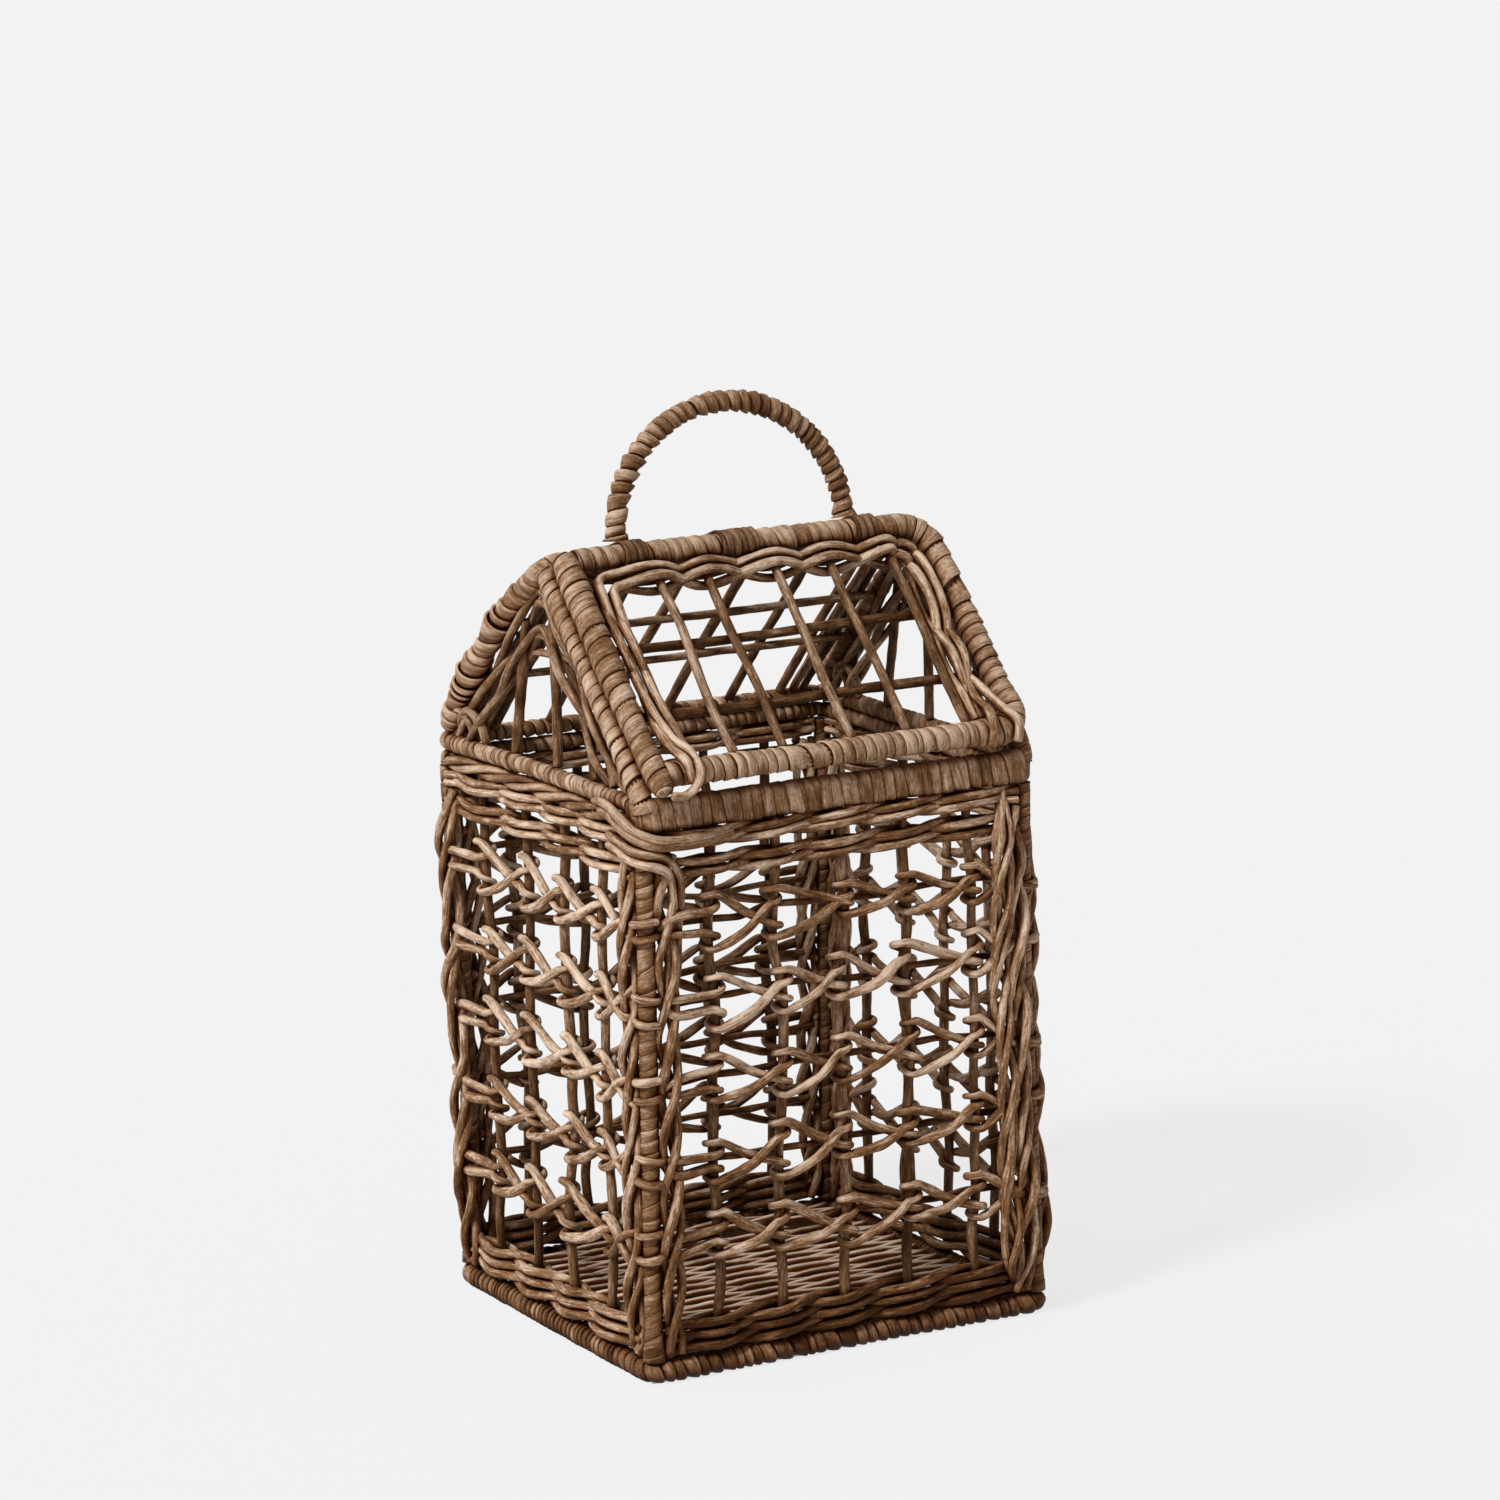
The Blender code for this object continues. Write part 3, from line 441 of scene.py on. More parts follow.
def rim_path(z):
    """The level ring of a rim, in even steps. It ends a step before its start."""
    points = []
    for quarter, (sx, sy) in enumerate(((1, 1), (-1, 1), (-1, -1), (1, -1))):
        for step in range(BEND_STEPS + 1):
            angle = (quarter + step / BEND_STEPS) * math.pi / 2
            x = sx * (HALF_WIDTH - RIM_CORNER) + RIM_CORNER * math.cos(angle)
            y = sy * (HALF_DEPTH - RIM_CORNER) + RIM_CORNER * math.sin(angle)
            points.append((x, y, z))
    return even(np.array(points + points[:1]), STEP)[:-1]


def on_lid(points):
    """From the lid's own axes, X along the hinge, -Y down the slope and Z outwards, to the frame's."""
    x, y, z = np.asarray(points, float).T
    return np.stack([x, HINGE_Y + COS * y - SIN * z, HINGE_Z + SIN * y + COS * z], axis=1)


def on_back(points):
    """From the back slope's axes, X along the ridge, Y down the slope and Z outwards, to the frame's."""
    x, y, z = np.asarray(points, float).T
    return np.stack([x, COS * y + SIN * z, RIDGE_Z - SIN * y + COS * z], axis=1)


def on_wall(quarter, reach, points):
    """From a wall's own axes, X along it, -Y outwards and Z up, to the frame's."""
    p = np.asarray(points, float)
    x, y = p[:, 0], p[:, 1] - reach
    c, s = ((1, 0), (0, 1), (-1, 0), (0, -1))[quarter]
    return np.concatenate([np.stack([c * x - s * y, s * x + c * y], axis=1), p[:, 2:]], axis=1)


# Materials


def new_material(name):
    material = bpy.data.materials.new(name)
    material.use_nodes = True
    return material, material.node_tree.nodes, material.node_tree.links


def fill(node, values):
    """Sets the node's inputs by name, and gives the node back."""
    for label, value in values.items():
        node.inputs[label].default_value = value
    return node


def color_ramp(nodes, links, value, stops):
    """Turns a value into a colour. stops are (place, colour), and the ramp's two ends come first."""
    ramp = nodes.new("ShaderNodeValToRGB")
    elements = ramp.color_ramp.elements
    for index, (place, color) in enumerate(stops):
        stop = elements[index] if index < 2 else elements.new(place)
        stop.position = place
        stop.color = (*color, 1)
    links.new(value, ramp.inputs["Fac"])
    return ramp.outputs["Color"]


def rattan(name, dark, middle, light, fibre=1.0, cracks=0.0, nook_low=0.22, nook_high=0.92):
    """Peeled or flat rattan: fibres along the strand, lighter and darker runs, and painted shade in grooves
    and nooks.
    """
    material, nodes, links = new_material(name)
    shader = nodes["Principled BSDF"]
    grain = nodes.new("ShaderNodeUVMap")
    grain.uv_map = "grain"

    def noise(scale_across, scale_along, detail, roughness=0.6):
        mapping = fill(nodes.new("ShaderNodeMapping"), {"Scale": (scale_across, scale_along, 1)})
        links.new(grain.outputs["UV"], mapping.inputs["Vector"])
        texture = nodes.new("ShaderNodeTexNoise")
        fill(texture, {"Scale": 1.0, "Detail": detail, "Roughness": roughness})
        links.new(mapping.outputs["Vector"], texture.inputs["Vector"])
        return texture.outputs["Fac"]

    def map_range(value, limits):
        node = fill(nodes.new("ShaderNodeMapRange"), limits)
        links.new(value, node.inputs["Value"])
        return node.outputs["Result"]

    def math_node(operation, a, b, clamp=False):
        node = nodes.new("ShaderNodeMath")
        node.operation = operation
        node.use_clamp = clamp
        for socket, value in ((node.inputs[0], a), (node.inputs[1], b)):
            if isinstance(value, (int, float)):
                socket.default_value = value
            else:
                links.new(value, socket)
        return node.outputs[0]

    def attribute(label):
        node = nodes.new("ShaderNodeAttribute")
        node.attribute_name = label
        return node.outputs["Fac"]

    fine = noise(2.3, 0.20, 5, 0.72)
    broad = noise(0.5, 0.10, 3)
    specks = noise(1.3, 0.9, 3)
    tone = attribute("tone")
    for wave, amount in ((fine, 1.5 * fibre), (broad, 1.05), (specks, 0.5)):
        swing = math_node("MULTIPLY", math_node("SUBTRACT", wave, 0.5), amount)
        tone = math_node("ADD", tone, swing, clamp=wave is specks)
    color = color_ramp(nodes, links, tone, ((0.12, dark), (0.92, light), (0.5, middle)))
    # painted shade: the colour is darkened and warmed where ambient occlusion finds a nook and where the
    # vertex layer paints shade
    hollow = nodes.new("ShaderNodeAmbientOcclusion")
    hollow.samples = 6
    hollow.inputs["Distance"].default_value = 0.006
    nook = map_range(hollow.outputs["AO"], {"From Min": nook_low, "From Max": nook_high})
    open_share = math_node("MULTIPLY", attribute("painted_lit_share"), nook)
    stops = ((0, (0.145, 0.038, 0.005)), (1, (1, 1, 1)))
    stops += ((0.30, (0.37, 0.19, 0.085)), (0.65, (0.77, 0.63, 0.50)))
    painted_shade_color = color_ramp(nodes, links, open_share, stops)
    groove = nodes.new("ShaderNodeMix")
    groove.data_type = "RGBA"
    groove.blend_type = "MULTIPLY"
    groove.inputs["Factor"].default_value = 1.0
    links.new(color, groove.inputs["A"])
    links.new(painted_shade_color, groove.inputs["B"])
    links.new(groove.outputs["Result"], shader.inputs["Base Color"])
    links.new(map_range(fine, {"To Min": 0.40, "To Max": 0.72}), shader.inputs["Roughness"])
    fill(shader, {"Specular IOR Level": 0.17, "Specular Tint": (1.0, 0.78, 0.58, 1)})
    height = math_node("ADD", fine, math_node("MULTIPLY", broad, 0.8))
    if cracks:
        across = noise(0.7, 5.0, 3, 0.7)
        height = math_node("ADD", height, math_node("MULTIPLY", across, cracks))
    bump = fill(nodes.new("ShaderNodeBump"), {"Strength": 0.55, "Distance": 0.00035})
    links.new(height, bump.inputs["Height"])
    links.new(bump.outputs["Normal"], shader.inputs["Normal"])
    return material


LOOKS = {
    "wrapped_pole": rattan(
        "wound_cane", (0.062, 0.021, 0.005), (0.228, 0.118, 0.054), (0.610, 0.445, 0.320), 0.8, 0.5
    ),
    "stake": rattan("bare_rod", (0.046, 0.016, 0.004), (0.178, 0.090, 0.040), (0.520, 0.365, 0.255)),
    "weaver": rattan("weaving_rod", (0.052, 0.016, 0.003), (0.228, 0.112, 0.047), (0.710, 0.545, 0.405)),
    "floor": rattan(
        "floor_rod", (0.060, 0.024, 0.007), (0.330, 0.205, 0.120), (0.900, 0.730, 0.570),
        nook_low=0.44, nook_high=0.90,
    ),
    "lashing": rattan(
        "lashing_cane", (0.030, 0.011, 0.003), (0.125, 0.063, 0.028), (0.330, 0.210, 0.130), 0.9, 0.4
    ),
}


# Base, posts and rims


def build_base():
    bundle = Bundle(11)
    bundle.wind(
        rim_path(BASE_R), BASE_R - 0.06, 3.0, closed=True, thickness=0.75, dome=0.16, tilt=0.18, uneven=0.28,
        dark_every=3.6, steps=18, spread=0.2, tone=0.47, lap=0.32, edge=0.05,
        pace=((0, 0.24, 0.28, 0.49, 0.53, 0.74, 0.78, 1), (1.2, 1.2, 0.85, 0.85, 1.25, 1.25, 0.85, 1.0)),
    )
    bundle.piece("bottom_rim_cane", "basket", "wrapped_pole", "bottom_rim")


def build_floor():
    bundle = Bundle(12)
    rods = 37
    # painted light and shade: a mat rod is painted light on top only, and dark where it lies against the next
    painted_rod_light = np.clip(2.6 * np.cos(np.arange(12) * math.pi / 6) - 1.12, 0.02, 1)
    for index in range(rods):
        y = (index - (rods - 1) / 2) * 2.79
        sign = 1 if index % 2 else -1
        points = []
        for x in np.arange(-56.0, 56.1, 4.0):
            edge = math.cos(math.pi * x / 20)
            z = 4.72 + 0.50 * sign * edge + bundle.rng.uniform(-0.05, 0.05)
            points.append((x, y + 0.50 * sign * edge + bundle.rng.uniform(-0.15, 0.15), z))
        tone = bundle.rng.uniform(0.60, 0.98)
        bundle.rod(points, 1.02, tone=tone, sides=12, spacing=2.0, wobble=0.05, rough=0.09, painted_lit_share=painted_rod_light)
    bundle.piece("floor_rods", "basket", "floor", "floor_mat")
    bundle = Bundle(13)
    for x in WIDE_STAKES:
        bundle.rod([(x, -51.6, 1.8), (x, 0, 1.8), (x, 51.6, 1.8)], STAKE_R, sides=8, spacing=2.0, wobble=0.04)
    nodes = [f"floor_stake_{index}" for index in range(1, 6)]
    bundle.piece("floor_stake_rods", "basket", "stake", *nodes)


def build_posts():
    for front, y in (("front", -POST_Y), ("back", POST_Y)):
        for side, x in (("left", -POST_X), ("right", POST_X)):
            bundle = Bundle(20 + (x > 0) + 2 * (y > 0))
            points = [(x, y, z) for z in np.linspace(6.2, 151.0, 12)]
            bundle.wind(
                smooth(points, STEP), POST_R + 0.1, 4.2, thickness=0.4, dome=0.02, jitter=0.05, tilt=0.05,
                uneven=0.30, tone=0.43, spread=0.09, lap=0.06,
                taper=((0, 0.02, 0.05, 1), (1.3, 1.2, 1.0, 1.0)),
            )
            name = f"corner_post_{front}_{side}"
            bundle.piece(name + "_cane", "basket", "wrapped_pole", name)


def stray(quarter, index, z):
    """How far a stake is off its place along the wall at a height."""
    rng = np.random.default_rng(500 + 10 * quarter + index)
    free = float(np.clip(min(z - 12, 140 - z) / 14, 0, 1))
    return 2.0 * free * float(drift(rng, 170, 20)(z))


def build_stakes():
    for name, quarter, reach, places, post, column in WALLS:
        bundle = Bundle(30 + quarter)
        for index, place in enumerate(places):
            points = []
            for z in (6.4, 14, 26, 37.5, 48, 59.6, 70, 81.7, 93, 103.8, 115, 125.9, 138, 151.0):
                loose = 0.0 if z in (6.4, 151.0) else 0.3
                x = place + stray(quarter, index, z) + bundle.rng.uniform(-loose, loose)
                points.append((x, bundle.rng.uniform(-loose, loose) * 0.6, z))
            tone = bundle.rng.uniform(0.25, 0.62)
            bundle.rod(on_wall(quarter, reach, points), STAKE_R, tone, wobble=0.06)
        nodes = [f"{name}_stake_{index}" for index in range(1, len(places) + 1)]
        bundle.piece(f"{name}_stake_rods", "basket", "stake", *nodes)


# The wall weave


def round_post(x, level, side, turns):
    """Points round a post. turns gives each one's angle in degrees and its climb."""
    points = []
    for angle, climb in turns:
        a = math.radians(angle)
        y = POST_INWARD + POST_GRIP * math.sin(a)
        points.append((x + POST_GRIP * math.cos(a), y, level + climb * side, 0.9))
    return points


def weaver_points(rng, places, row, sign, post, column, ties):
    """One weaver of an open row. ties says which post it goes round: 1 is the left one and -1 the right one.

    It comes from the left across a stake's front near the row, goes right round the stake, shows again as a
    curl at its left, crosses its front high or low, and goes on to the next stake's other side.
    """
    reach = STAKE_R + WEAVER_R * 0.66
    level = row + sign * 2.1
    if ties > 0:
        points = round_post(-post, level, sign, ((150, 1.1), (215, 0.9), (270, 0.4), (325, 0.0), (360, -0.3)))
    else:
        points = [(-column - 1.6, 1.6, level - 5 * sign, 1), (-column - 1.9, -0.6, level - 2.6 * sign, 1)]
    points.append((-column + 0.5, -2.6, level, 1))
    side = sign
    before = None
    for index, place in enumerate(places):
        middle = row + rng.uniform(-1.5, 1.5)
        rise = 6.4 * side * (1 + rng.uniform(-0.24, 0.16))
        enter = rise * rng.uniform(0.16, 0.38)
        if before is not None:
            x0, z0 = before
            x1, z1 = place - reach * 0.64, middle + enter
            share = 0.55 + rng.uniform(-0.08, 0.08)
            front = 0.95 if (index + (sign > 0)) % 2 else -0.95
            front += rng.uniform(-0.15, 0.15)
            sag = rng.uniform(-0.5, 0.5) - (1.5 if z1 > z0 or len(places) < 5 else 0.2)
            z = z0 + (z1 - z0) * (share + 0.04) + sag
            points.append((x0 + (x1 - x0) * share, -reach * 0.85 - front, z, 1.08))
        for angle, share in STAKE_TURN:
            a = math.radians(angle)
            z = middle + enter + (rise - enter) * share
            thin = 0.95 if angle in (-40, 392) else 0.8
            points.append((place + reach * math.sin(a), -reach * math.cos(a), z, thin))
        before = (place + reach * 0.53, middle + rise * 0.98)
        side = -side
    level = middle + side * 2.1
    points.append((column - 0.5, -2.6, level, 1))
    if ties < 0:
        turns = ((180, -0.3), (215, 0.0), (270, 0.4), (325, 0.9), (390, 1.1))
        return points + round_post(post, level, side, turns)
    return points + [(column + 1.9, -0.6, level + 2.6 * side, 1), (column + 1.6, 1.6, level + 5 * side, 1)]


def pairing_points(rng, places, end, z, sign, radius, lift):
    """One of the two rods of a pairing: before one stake, behind the next, always twisting the same way."""
    reach = STAKE_R + radius * 0.95
    side = sign
    points = [(-end, -side * 1.2, z - 0.6 * side)]
    previous = None
    for place in places:
        if previous is not None:
            up = lift if side > 0 else -lift
            points.append(((previous + place) / 2, 0, z + up + rng.uniform(-0.2, 0.2)))
        points.append((place, side * reach, z + rng.uniform(-0.25, 0.25)))
        previous = place
        side = -side
    points.append((end, side * 1.2, z + 0.6 * side))
    return points


def column_points(rng, place, start, bulge):
    """A strand of the twisted column at a wall's end. bulge is how far the column swings outwards."""
    wave = drift(rng, 160, 17)
    sway = drift(rng, 160, 13)
    points = []
    for z in np.arange(COLUMN_FOOT, COLUMN_HEAD + 0.1, 5.5):
        angle = start + 2 * math.pi * z / 46 + 0.5 * wave(z)
        r = 2.3 + 0.5 * wave(z + 40 if z < 100 else z - 60)
        free = min(1, (z - COLUMN_FOOT) / 12, (COLUMN_HEAD - z) / 25) * bulge
        y = r * math.sin(angle) * 0.8 - free * (0.75 + 0.35 * sway(z))
        points.append((place + r * math.cos(angle) + math.copysign(0.35 * free, place), y, z))
    return points


def corner_strand(rng, column, post, rank):
    """A strand beside the front left post: it arches over the post's head and goes on along the left wall."""
    points = []
    rising = ((104, 1.0, -0.6), (114, 2.6, -0.4), (124, 3.6, -0.6), (132, 3.9, -0.9), (138.5, 3.3, -1.8))
    for z, x, y in rising:
        points.append((-column + x - 2.4 * rank + rng.uniform(-0.4, 0.4), y, z - 2.5 * rank, 1))
    over = ((5.4, -2.6, 143.5), (1.8, -3.3, 145.6), (-2.4, -2.5, 146.4), (-4.7, 0.8, 147.4))
    for x, y, z in over + ((-4.6, 6.5, 148.6),):
        points.append((-post + x - 0.9 * rank * (x > 0), y - 0.3 * rank, z - 2.7 * rank, 1))
    points.append((-post - 3.4, 14.0, 149.0 - 2.7 * rank, 1))
    return points


def build_weave():
    for name, quarter, reach, places, post, column in WALLS:
        bundle = Bundle(40 + quarter)
        rng = bundle.rng
        # painted shade: the front wall's weavers are painted darker, and its pairing rods twice as much
        painted_front_shade = 0.06 if name == "front" else 0.0

        def lay(points, radius, tone, rough=0.08, **more):
            bundle.rod(on_wall(quarter, reach, points), radius, tone, rough=rough, **more)

        # the open rows, which have a core rod on the wide walls, painted dark as the shade behind the stakes
        for number, row in enumerate(WEAVE_ROWS):
            strayed = [place + stray(quarter, index, row) for index, place in enumerate(places)]
            if name in ("front", "back"):
                points = [(-column - 1, 1.0, row, 1)]
                for place in strayed:
                    points.append((place, 2.35, row + rng.uniform(-0.8, 0.8), 1))
                    points.append((place + 10, 1.9, row + rng.uniform(-1.0, 1.0), 1))
                points[-1] = (column + 1, 1.0, row, 1)
                lay(points, 1.05, 0.3)
            for sign in (1, -1):
                flip = sign if number % 2 else -sign
                points = weaver_points(rng, strayed, row, flip, post, column, sign)
                thick = 1.27 * rng.uniform(0.9, 1.08)
                lay(points, thick, rng.uniform(0.45, 0.72) - painted_front_shade, spacing=0.7)
        # the twisted columns at both ends
        for start in (0.4, 2.5, 4.6):
            for place in (-column, column):
                loose = (name == "front" and place > 0) or (name in ("right", "left") and place < 0)
                bulge = 3.2 if loose else 2.2 if name in ("front", "left") else 0.8
                bulge += 1.0 * (loose and name == "left")
                points = column_points(rng, place, start + rng.uniform(-0.3, 0.3), bulge)
                lay(points, 1.3 * rng.uniform(0.92, 1.08), rng.uniform(0.42, 0.72))
        # four more strands on both walls beside the front right post
        if name in ("front", "right"):
            middle = 49.2 if name == "front" else -44.2
            for start in (0.0, 1.8, 3.3, 4.7):
                end = middle + math.copysign(2.5, middle)
                points = [(end, 0.5, 9.5)]
                wave = drift(rng, 160, 21)
                for z in np.arange(17.0, 142.0, 6.0):
                    angle = start + 2 * math.pi * z / 52 + 0.8 * wave(z)
                    away = 3.6 + 0.9 * math.sin(z / 9.0)
                    x = middle + 2.3 * math.cos(angle) + rng.uniform(-0.4, 0.4)
                    points.append((x, -away + 1.1 * math.sin(angle), z))
                lay(points + [(end, 0.3, 150.0)], 1.15, rng.uniform(0.46, 0.68))
        if name == "front":
            for rank in (0, 1):
                lay(corner_strand(rng, column, post, rank), 1.3, 0.5 + 0.15 * rank)
        # the pairing rows at the foot and at the head
        end = post - POST_R - 0.4
        for z, radius, lift in (
            (8.6, 1.3, 1.2), (11.8, 1.2, 1.0), (15.0, 1.25, 1.2), (139.6, 1.15, 0.8), (142.4, 1.2, 0.8),
            (147.4, 1.2, 0.85), (149.9, 1.1, 0.8),
        ):
            for sign in (1, -1):
                points = pairing_points(rng, places, end, z, sign, radius, lift - 0.1)
                lay(points, radius, rng.uniform(0.36, 0.70) - 2 * painted_front_shade, rough=0.05)
        bundle.piece(f"{name}_weave_rods", "basket", "weaver", f"{name}_weave")


# The top rim


def build_rim():
    bundle = Bundle(51)
    middle = (RIM_LOW_Z + RIM_HIGH_Z) / 2
    half = (RIM_HIGH_Z - RIM_LOW_Z) / 2
    outline = belt((-half, 0), RIM_R, (half, 0), RIM_R, 30)
    ring = rim_path(0)

    def run(start, stop):
        """The part of the ring from one place to another, on its way round to the left seen from above."""
        first, last = [np.argmin(np.linalg.norm(ring[:, :2] - place, axis=1)) for place in (start, stop)]
        return np.roll(ring, -first, axis=0)[: (last - first) % len(ring) + 1]

    # in front one band goes round both rings, and on the other sides each ring has its own
    path = run((-HALF_WIDTH, -50.2), (HALF_WIDTH, -50.2)) + (0, 0, middle)
    bundle.wind(
        path, RIM_R, 3.9, section=outline, steps=30, dome=0.05, jitter=0.14, tilt=0.16, uneven=0.26,
        tone=0.48, spread=0.14, taper=((0, 0.02, 0.08, 0.92, 0.98, 1), (0.92, 1.12, 1.0, 1.0, 1.12, 0.95)),
    )
    path = run((HALF_WIDTH, -49.6), (-HALF_WIDTH, -49.6)) + (0, 0, RIM_HIGH_Z)
    bundle.wind(
        path, 2.3, 3.3, thickness=0.6, dome=0.12, jitter=0.1, tilt=0.2, uneven=0.26, dark_every=3.7,
        edge=0.035, tone=0.50, spread=0.18,
    )
    path = run((HALF_WIDTH, -49.6), (-HALF_WIDTH, 50.0)) + (0, 0, RIM_LOW_Z)
    bundle.wind(path, 2.15, 3.3, uneven=0.26, tone=0.5, spread=0.18)
    for phase in range(3):
        points = []
        for y in np.arange(52.0, -52.1, -5.2):
            angle = phase * 2 * math.pi / 3 + 2 * math.pi * y / 43
            points.append((-HALF_WIDTH + 1.25 * math.cos(angle), y, RIM_LOW_Z - 0.5 + 1.45 * math.sin(angle)))
        bundle.rod(points, 1.2, tone=0.4 + 0.15 * phase)
    # two strands laid round the front left corner
    for rank in (0, 1):
        drop = 2.5 * rank
        points = [(-60.4, -30 - 3 * rank, 156.4 - drop), (-62.2, -37, 157.0 - drop)]
        points += [(-63.8, -44, 157.2 - drop), (-64.1, -50.5, 155.3 - drop)]
        points += [(-62.6, -55.9, 152.4 - drop * 0.8), (-58.2, -58.9, 150.3 - drop * 0.7)]
        points += [(-51, -58.9, 149.4 - drop * 0.6), (-42, -57.9, 149.3 - drop * 0.5), (-34, -56.4, 149.4)]
        bundle.rod(points, 1.35, tone=0.6 - 0.1 * rank)
    bundle.piece("top_rim_cane", "basket", "wrapped_pole", "top_rim_upper", "top_rim_lower")


# The roof's back slope and the gables


def border_bend(x, step):
    """The upper right corner of a roof slope's border rod, from the ridge's side on to the rail's."""
    return arc(x - 4, step + 4, 4, -math.pi / 2, 0, 3)


def build_back_roof():
    bundle = Bundle(61)
    foot = 73.0
    bend = arc(POST_X - 7, 7, 7, -math.pi / 2, 0)
    right = [(x, y, 0) for x, y in bend] + [(POST_X, foot, 0)]
    left = [(-x, y, z) for x, y, z in reversed(right)]
    bowed = [(-POST_X, foot, 0), (-POST_X - 1.7, 53, 0.9), (-POST_X - 2.3, 32, 1.4), (-POST_X - 1.6, 16, 1.2)]
    bundle.wind(
        smooth(on_back(bowed + left[1:]), STEP), 2.7, 4.7, steps=20, thickness=0.7, dome=0.16, jitter=0.34,
        tilt=0.50, uneven=0.34, lap=0.3, tone=0.58,
        taper=(
            (0, 0.05, 0.16, 0.30, 0.44, 0.60, 0.72, 0.86, 1),
            (1.1, 1.35, 1.15, 1.5, 1.2, 1.45, 1.2, 1.35, 1.05),
        ),
    )
    bundle.wind(
        even(on_back(left[-1:] + right), STEP), 2.6, 3.6, jitter=0.22, tilt=0.30, uneven=0.32, spread=0.2,
        taper=(
            (0, 0.04, 0.12, 0.3, 0.55, 0.62, 0.8, 0.97, 1),
            (1.05, 1.1, 1.04, 1.0, 1.0, 1.08, 1.12, 1.12, 1),
        ),
    )
    bundle.piece("back_roof_frame_cane", "basket", "wrapped_pole", "back_roof_frame")
    bundle = Bundle(62)
    bars = (-44.7, -28.2, -11.4, 8.2, 28.2, 44.7)
    for x in bars:
        points = [(x, 2.9, 0), (x + 0.4, 25, 0.2), (x - 0.3, 50, 0), (x, 76.8, 0)]
        bundle.rod(on_back(points), STAKE_R, tone=bundle.rng.uniform(0.2, 0.6))
    slope = math.hypot(ROOF_RISE, POST_Y)
    for share in (0.385, 0.64):
        y = share * slope
        bundle.rod(on_back([(-56, y, -1.9), (0, y + 0.4, -1.9), (56, y, -1.9)]), 1.2)
    for step, sign in ((6.3, 1), (6.3, -1), (9.6, 1), (9.6, -1)):
        x = POST_X - step
        bend = border_bend(x, step)
        points = [(-x, 76.5, 0), (-x + 0.3 * sign, 40, 0.8 * sign), (-x, step + 5, 0)]
        points += [(-px, py, 0) for px, py in bend[-2::-1]]
        side = sign
        for place in bars:
            points.append((place, step + 0.5 * side, side * 2.2))
            side = -side
        points += [(px, py, 0) for px, py in bend[:-1]]
        points += [(x, step + 5, 0), (x - 0.3 * sign, 40, -0.8 * sign), (x, 76.5, 0)]
        bundle.rod(on_back(points), 1.1)
    bundle.piece("back_roof_lattice_rods", "basket", "stake", "back_roof_lattice")


def build_gables():
    for name, x in (("left", -POST_X), ("right", POST_X)):
        bundle = Bundle(70 + (x > 0))
        points = [(x, -a * COS, RIDGE_Z - a * SIN) for a in np.linspace(2.2, 69.0, 11)]
        points += [(x, -51.3, 162.4), (x, -53.2, 159.6), (x, -54.0, 156.4)]
        bundle.wind(
            smooth(points, STEP), 3.0, 4.4, steps=18, dome=0.05, jitter=0.16, tilt=0.22, uneven=0.24,
            dark_every=4.3, taper=((0, 0.1, 0.5, 0.9, 1), (0.95, 1.05, 1.0, 1.1, 1.0)),
        )
        node = f"gable_rail_{name}"
        bundle.piece(node + "_cane", "basket", "wrapped_pole", node)
        bundle = Bundle(72 + (x > 0))
        inset = 2.9 + 0.3 + 1.2
        peak = RIDGE_Z - inset / COS
        for y, top_y in ((39.0, 34.0), (17.0, 10.0), (-6.0, -5.0), (-27.0, -21.0)):
            head = peak - abs(top_y) * TAN
            half_up = (GABLE_FOOT_Z + head) / 2
            points = [(x, y, GABLE_FOOT_Z), (x + 0.3, (y + top_y) / 2 + 0.5, half_up), (x, top_y, head)]
            bundle.rod(points, STAKE_R, tone=bundle.rng.uniform(0.2, 0.6))
        # the rods that follow the rails
        for offset, side, radius in ((0.0, 1, 1.25), (3.0, -1, 1.2), (10.2, 1, 1.25), (12.0, -1, 1.1)):
            low = 50.0 - 1.18 * offset
            points = [(x, -low, peak - offset - low * TAN + 0.6)]
            for y, way in ((-30.0, side), (-12.0, -side)):
                points.append((x + 1.9 * way, y, peak - offset - abs(y) * TAN + 0.8))
            points.append((x, 1.5, peak - offset - 1.0))
            for y, way in ((14.0, -side), (33.0, side)):
                points.append((x + 1.9 * way, y, peak - 0.8 * offset - abs(y) * TAN + 0.8))
            low = 50.5 - 0.5 * offset
            points.append((x, low, peak - 0.8 * offset - low * TAN + 0.6))
            bundle.rod(points, radius, tone=bundle.rng.uniform(0.4, 0.7))
        for y, z in ((50.5, 162.6), (45.0, 163.0)):
            points = [(x, y, z - 0.6), (x - 1.8, y - 3, z + 4), (x - 2.4, y - 8, z + 6.5)]
            points += [(x - 1.2, y - 12, z + 3), (x, y - 12.5, z - 2.4)]
            bundle.rod(points, 1.2, tone=0.6)
        bar_z = 190.0
        half = (peak - bar_z) / TAN
        points = [(x + 1.7, -half, bar_z + 1), (x + 1.9, 0, bar_z + 0.4), (x + 1.7, half, bar_z - 0.8)]
        bundle.rod(points, 1.2)
        node = f"gable_lattice_{name}"
        bundle.piece(node + "_rods", "basket", "stake", node)


# The lid


def lid_sides():
    """Axes of the left rail, whose two ends show, and of the bent pole that makes the other three sides."""
    left = [(-56.5, 1.0, 0.8), (-56.5, -8, 0.7), (-56.7, -35, 0.5), (-56.6, -60, 0.4), (-56.0, -75.2, 0.5)]
    bend = arc(LID_HALF - LID_UPPER_BEND, -LID_UPPER_BEND, LID_UPPER_BEND, math.pi / 2, 0)
    low = LID_LOWER_BEND
    turn = arc(LID_HALF - low, -LID_LENGTH + low, low, 0, -math.pi / 2)
    rest = [(-53.4, 0)] + bend + turn + [(-54.2, -LID_LENGTH)]
    return np.array(left), np.array([(x, y, 0.0) for x, y in rest])


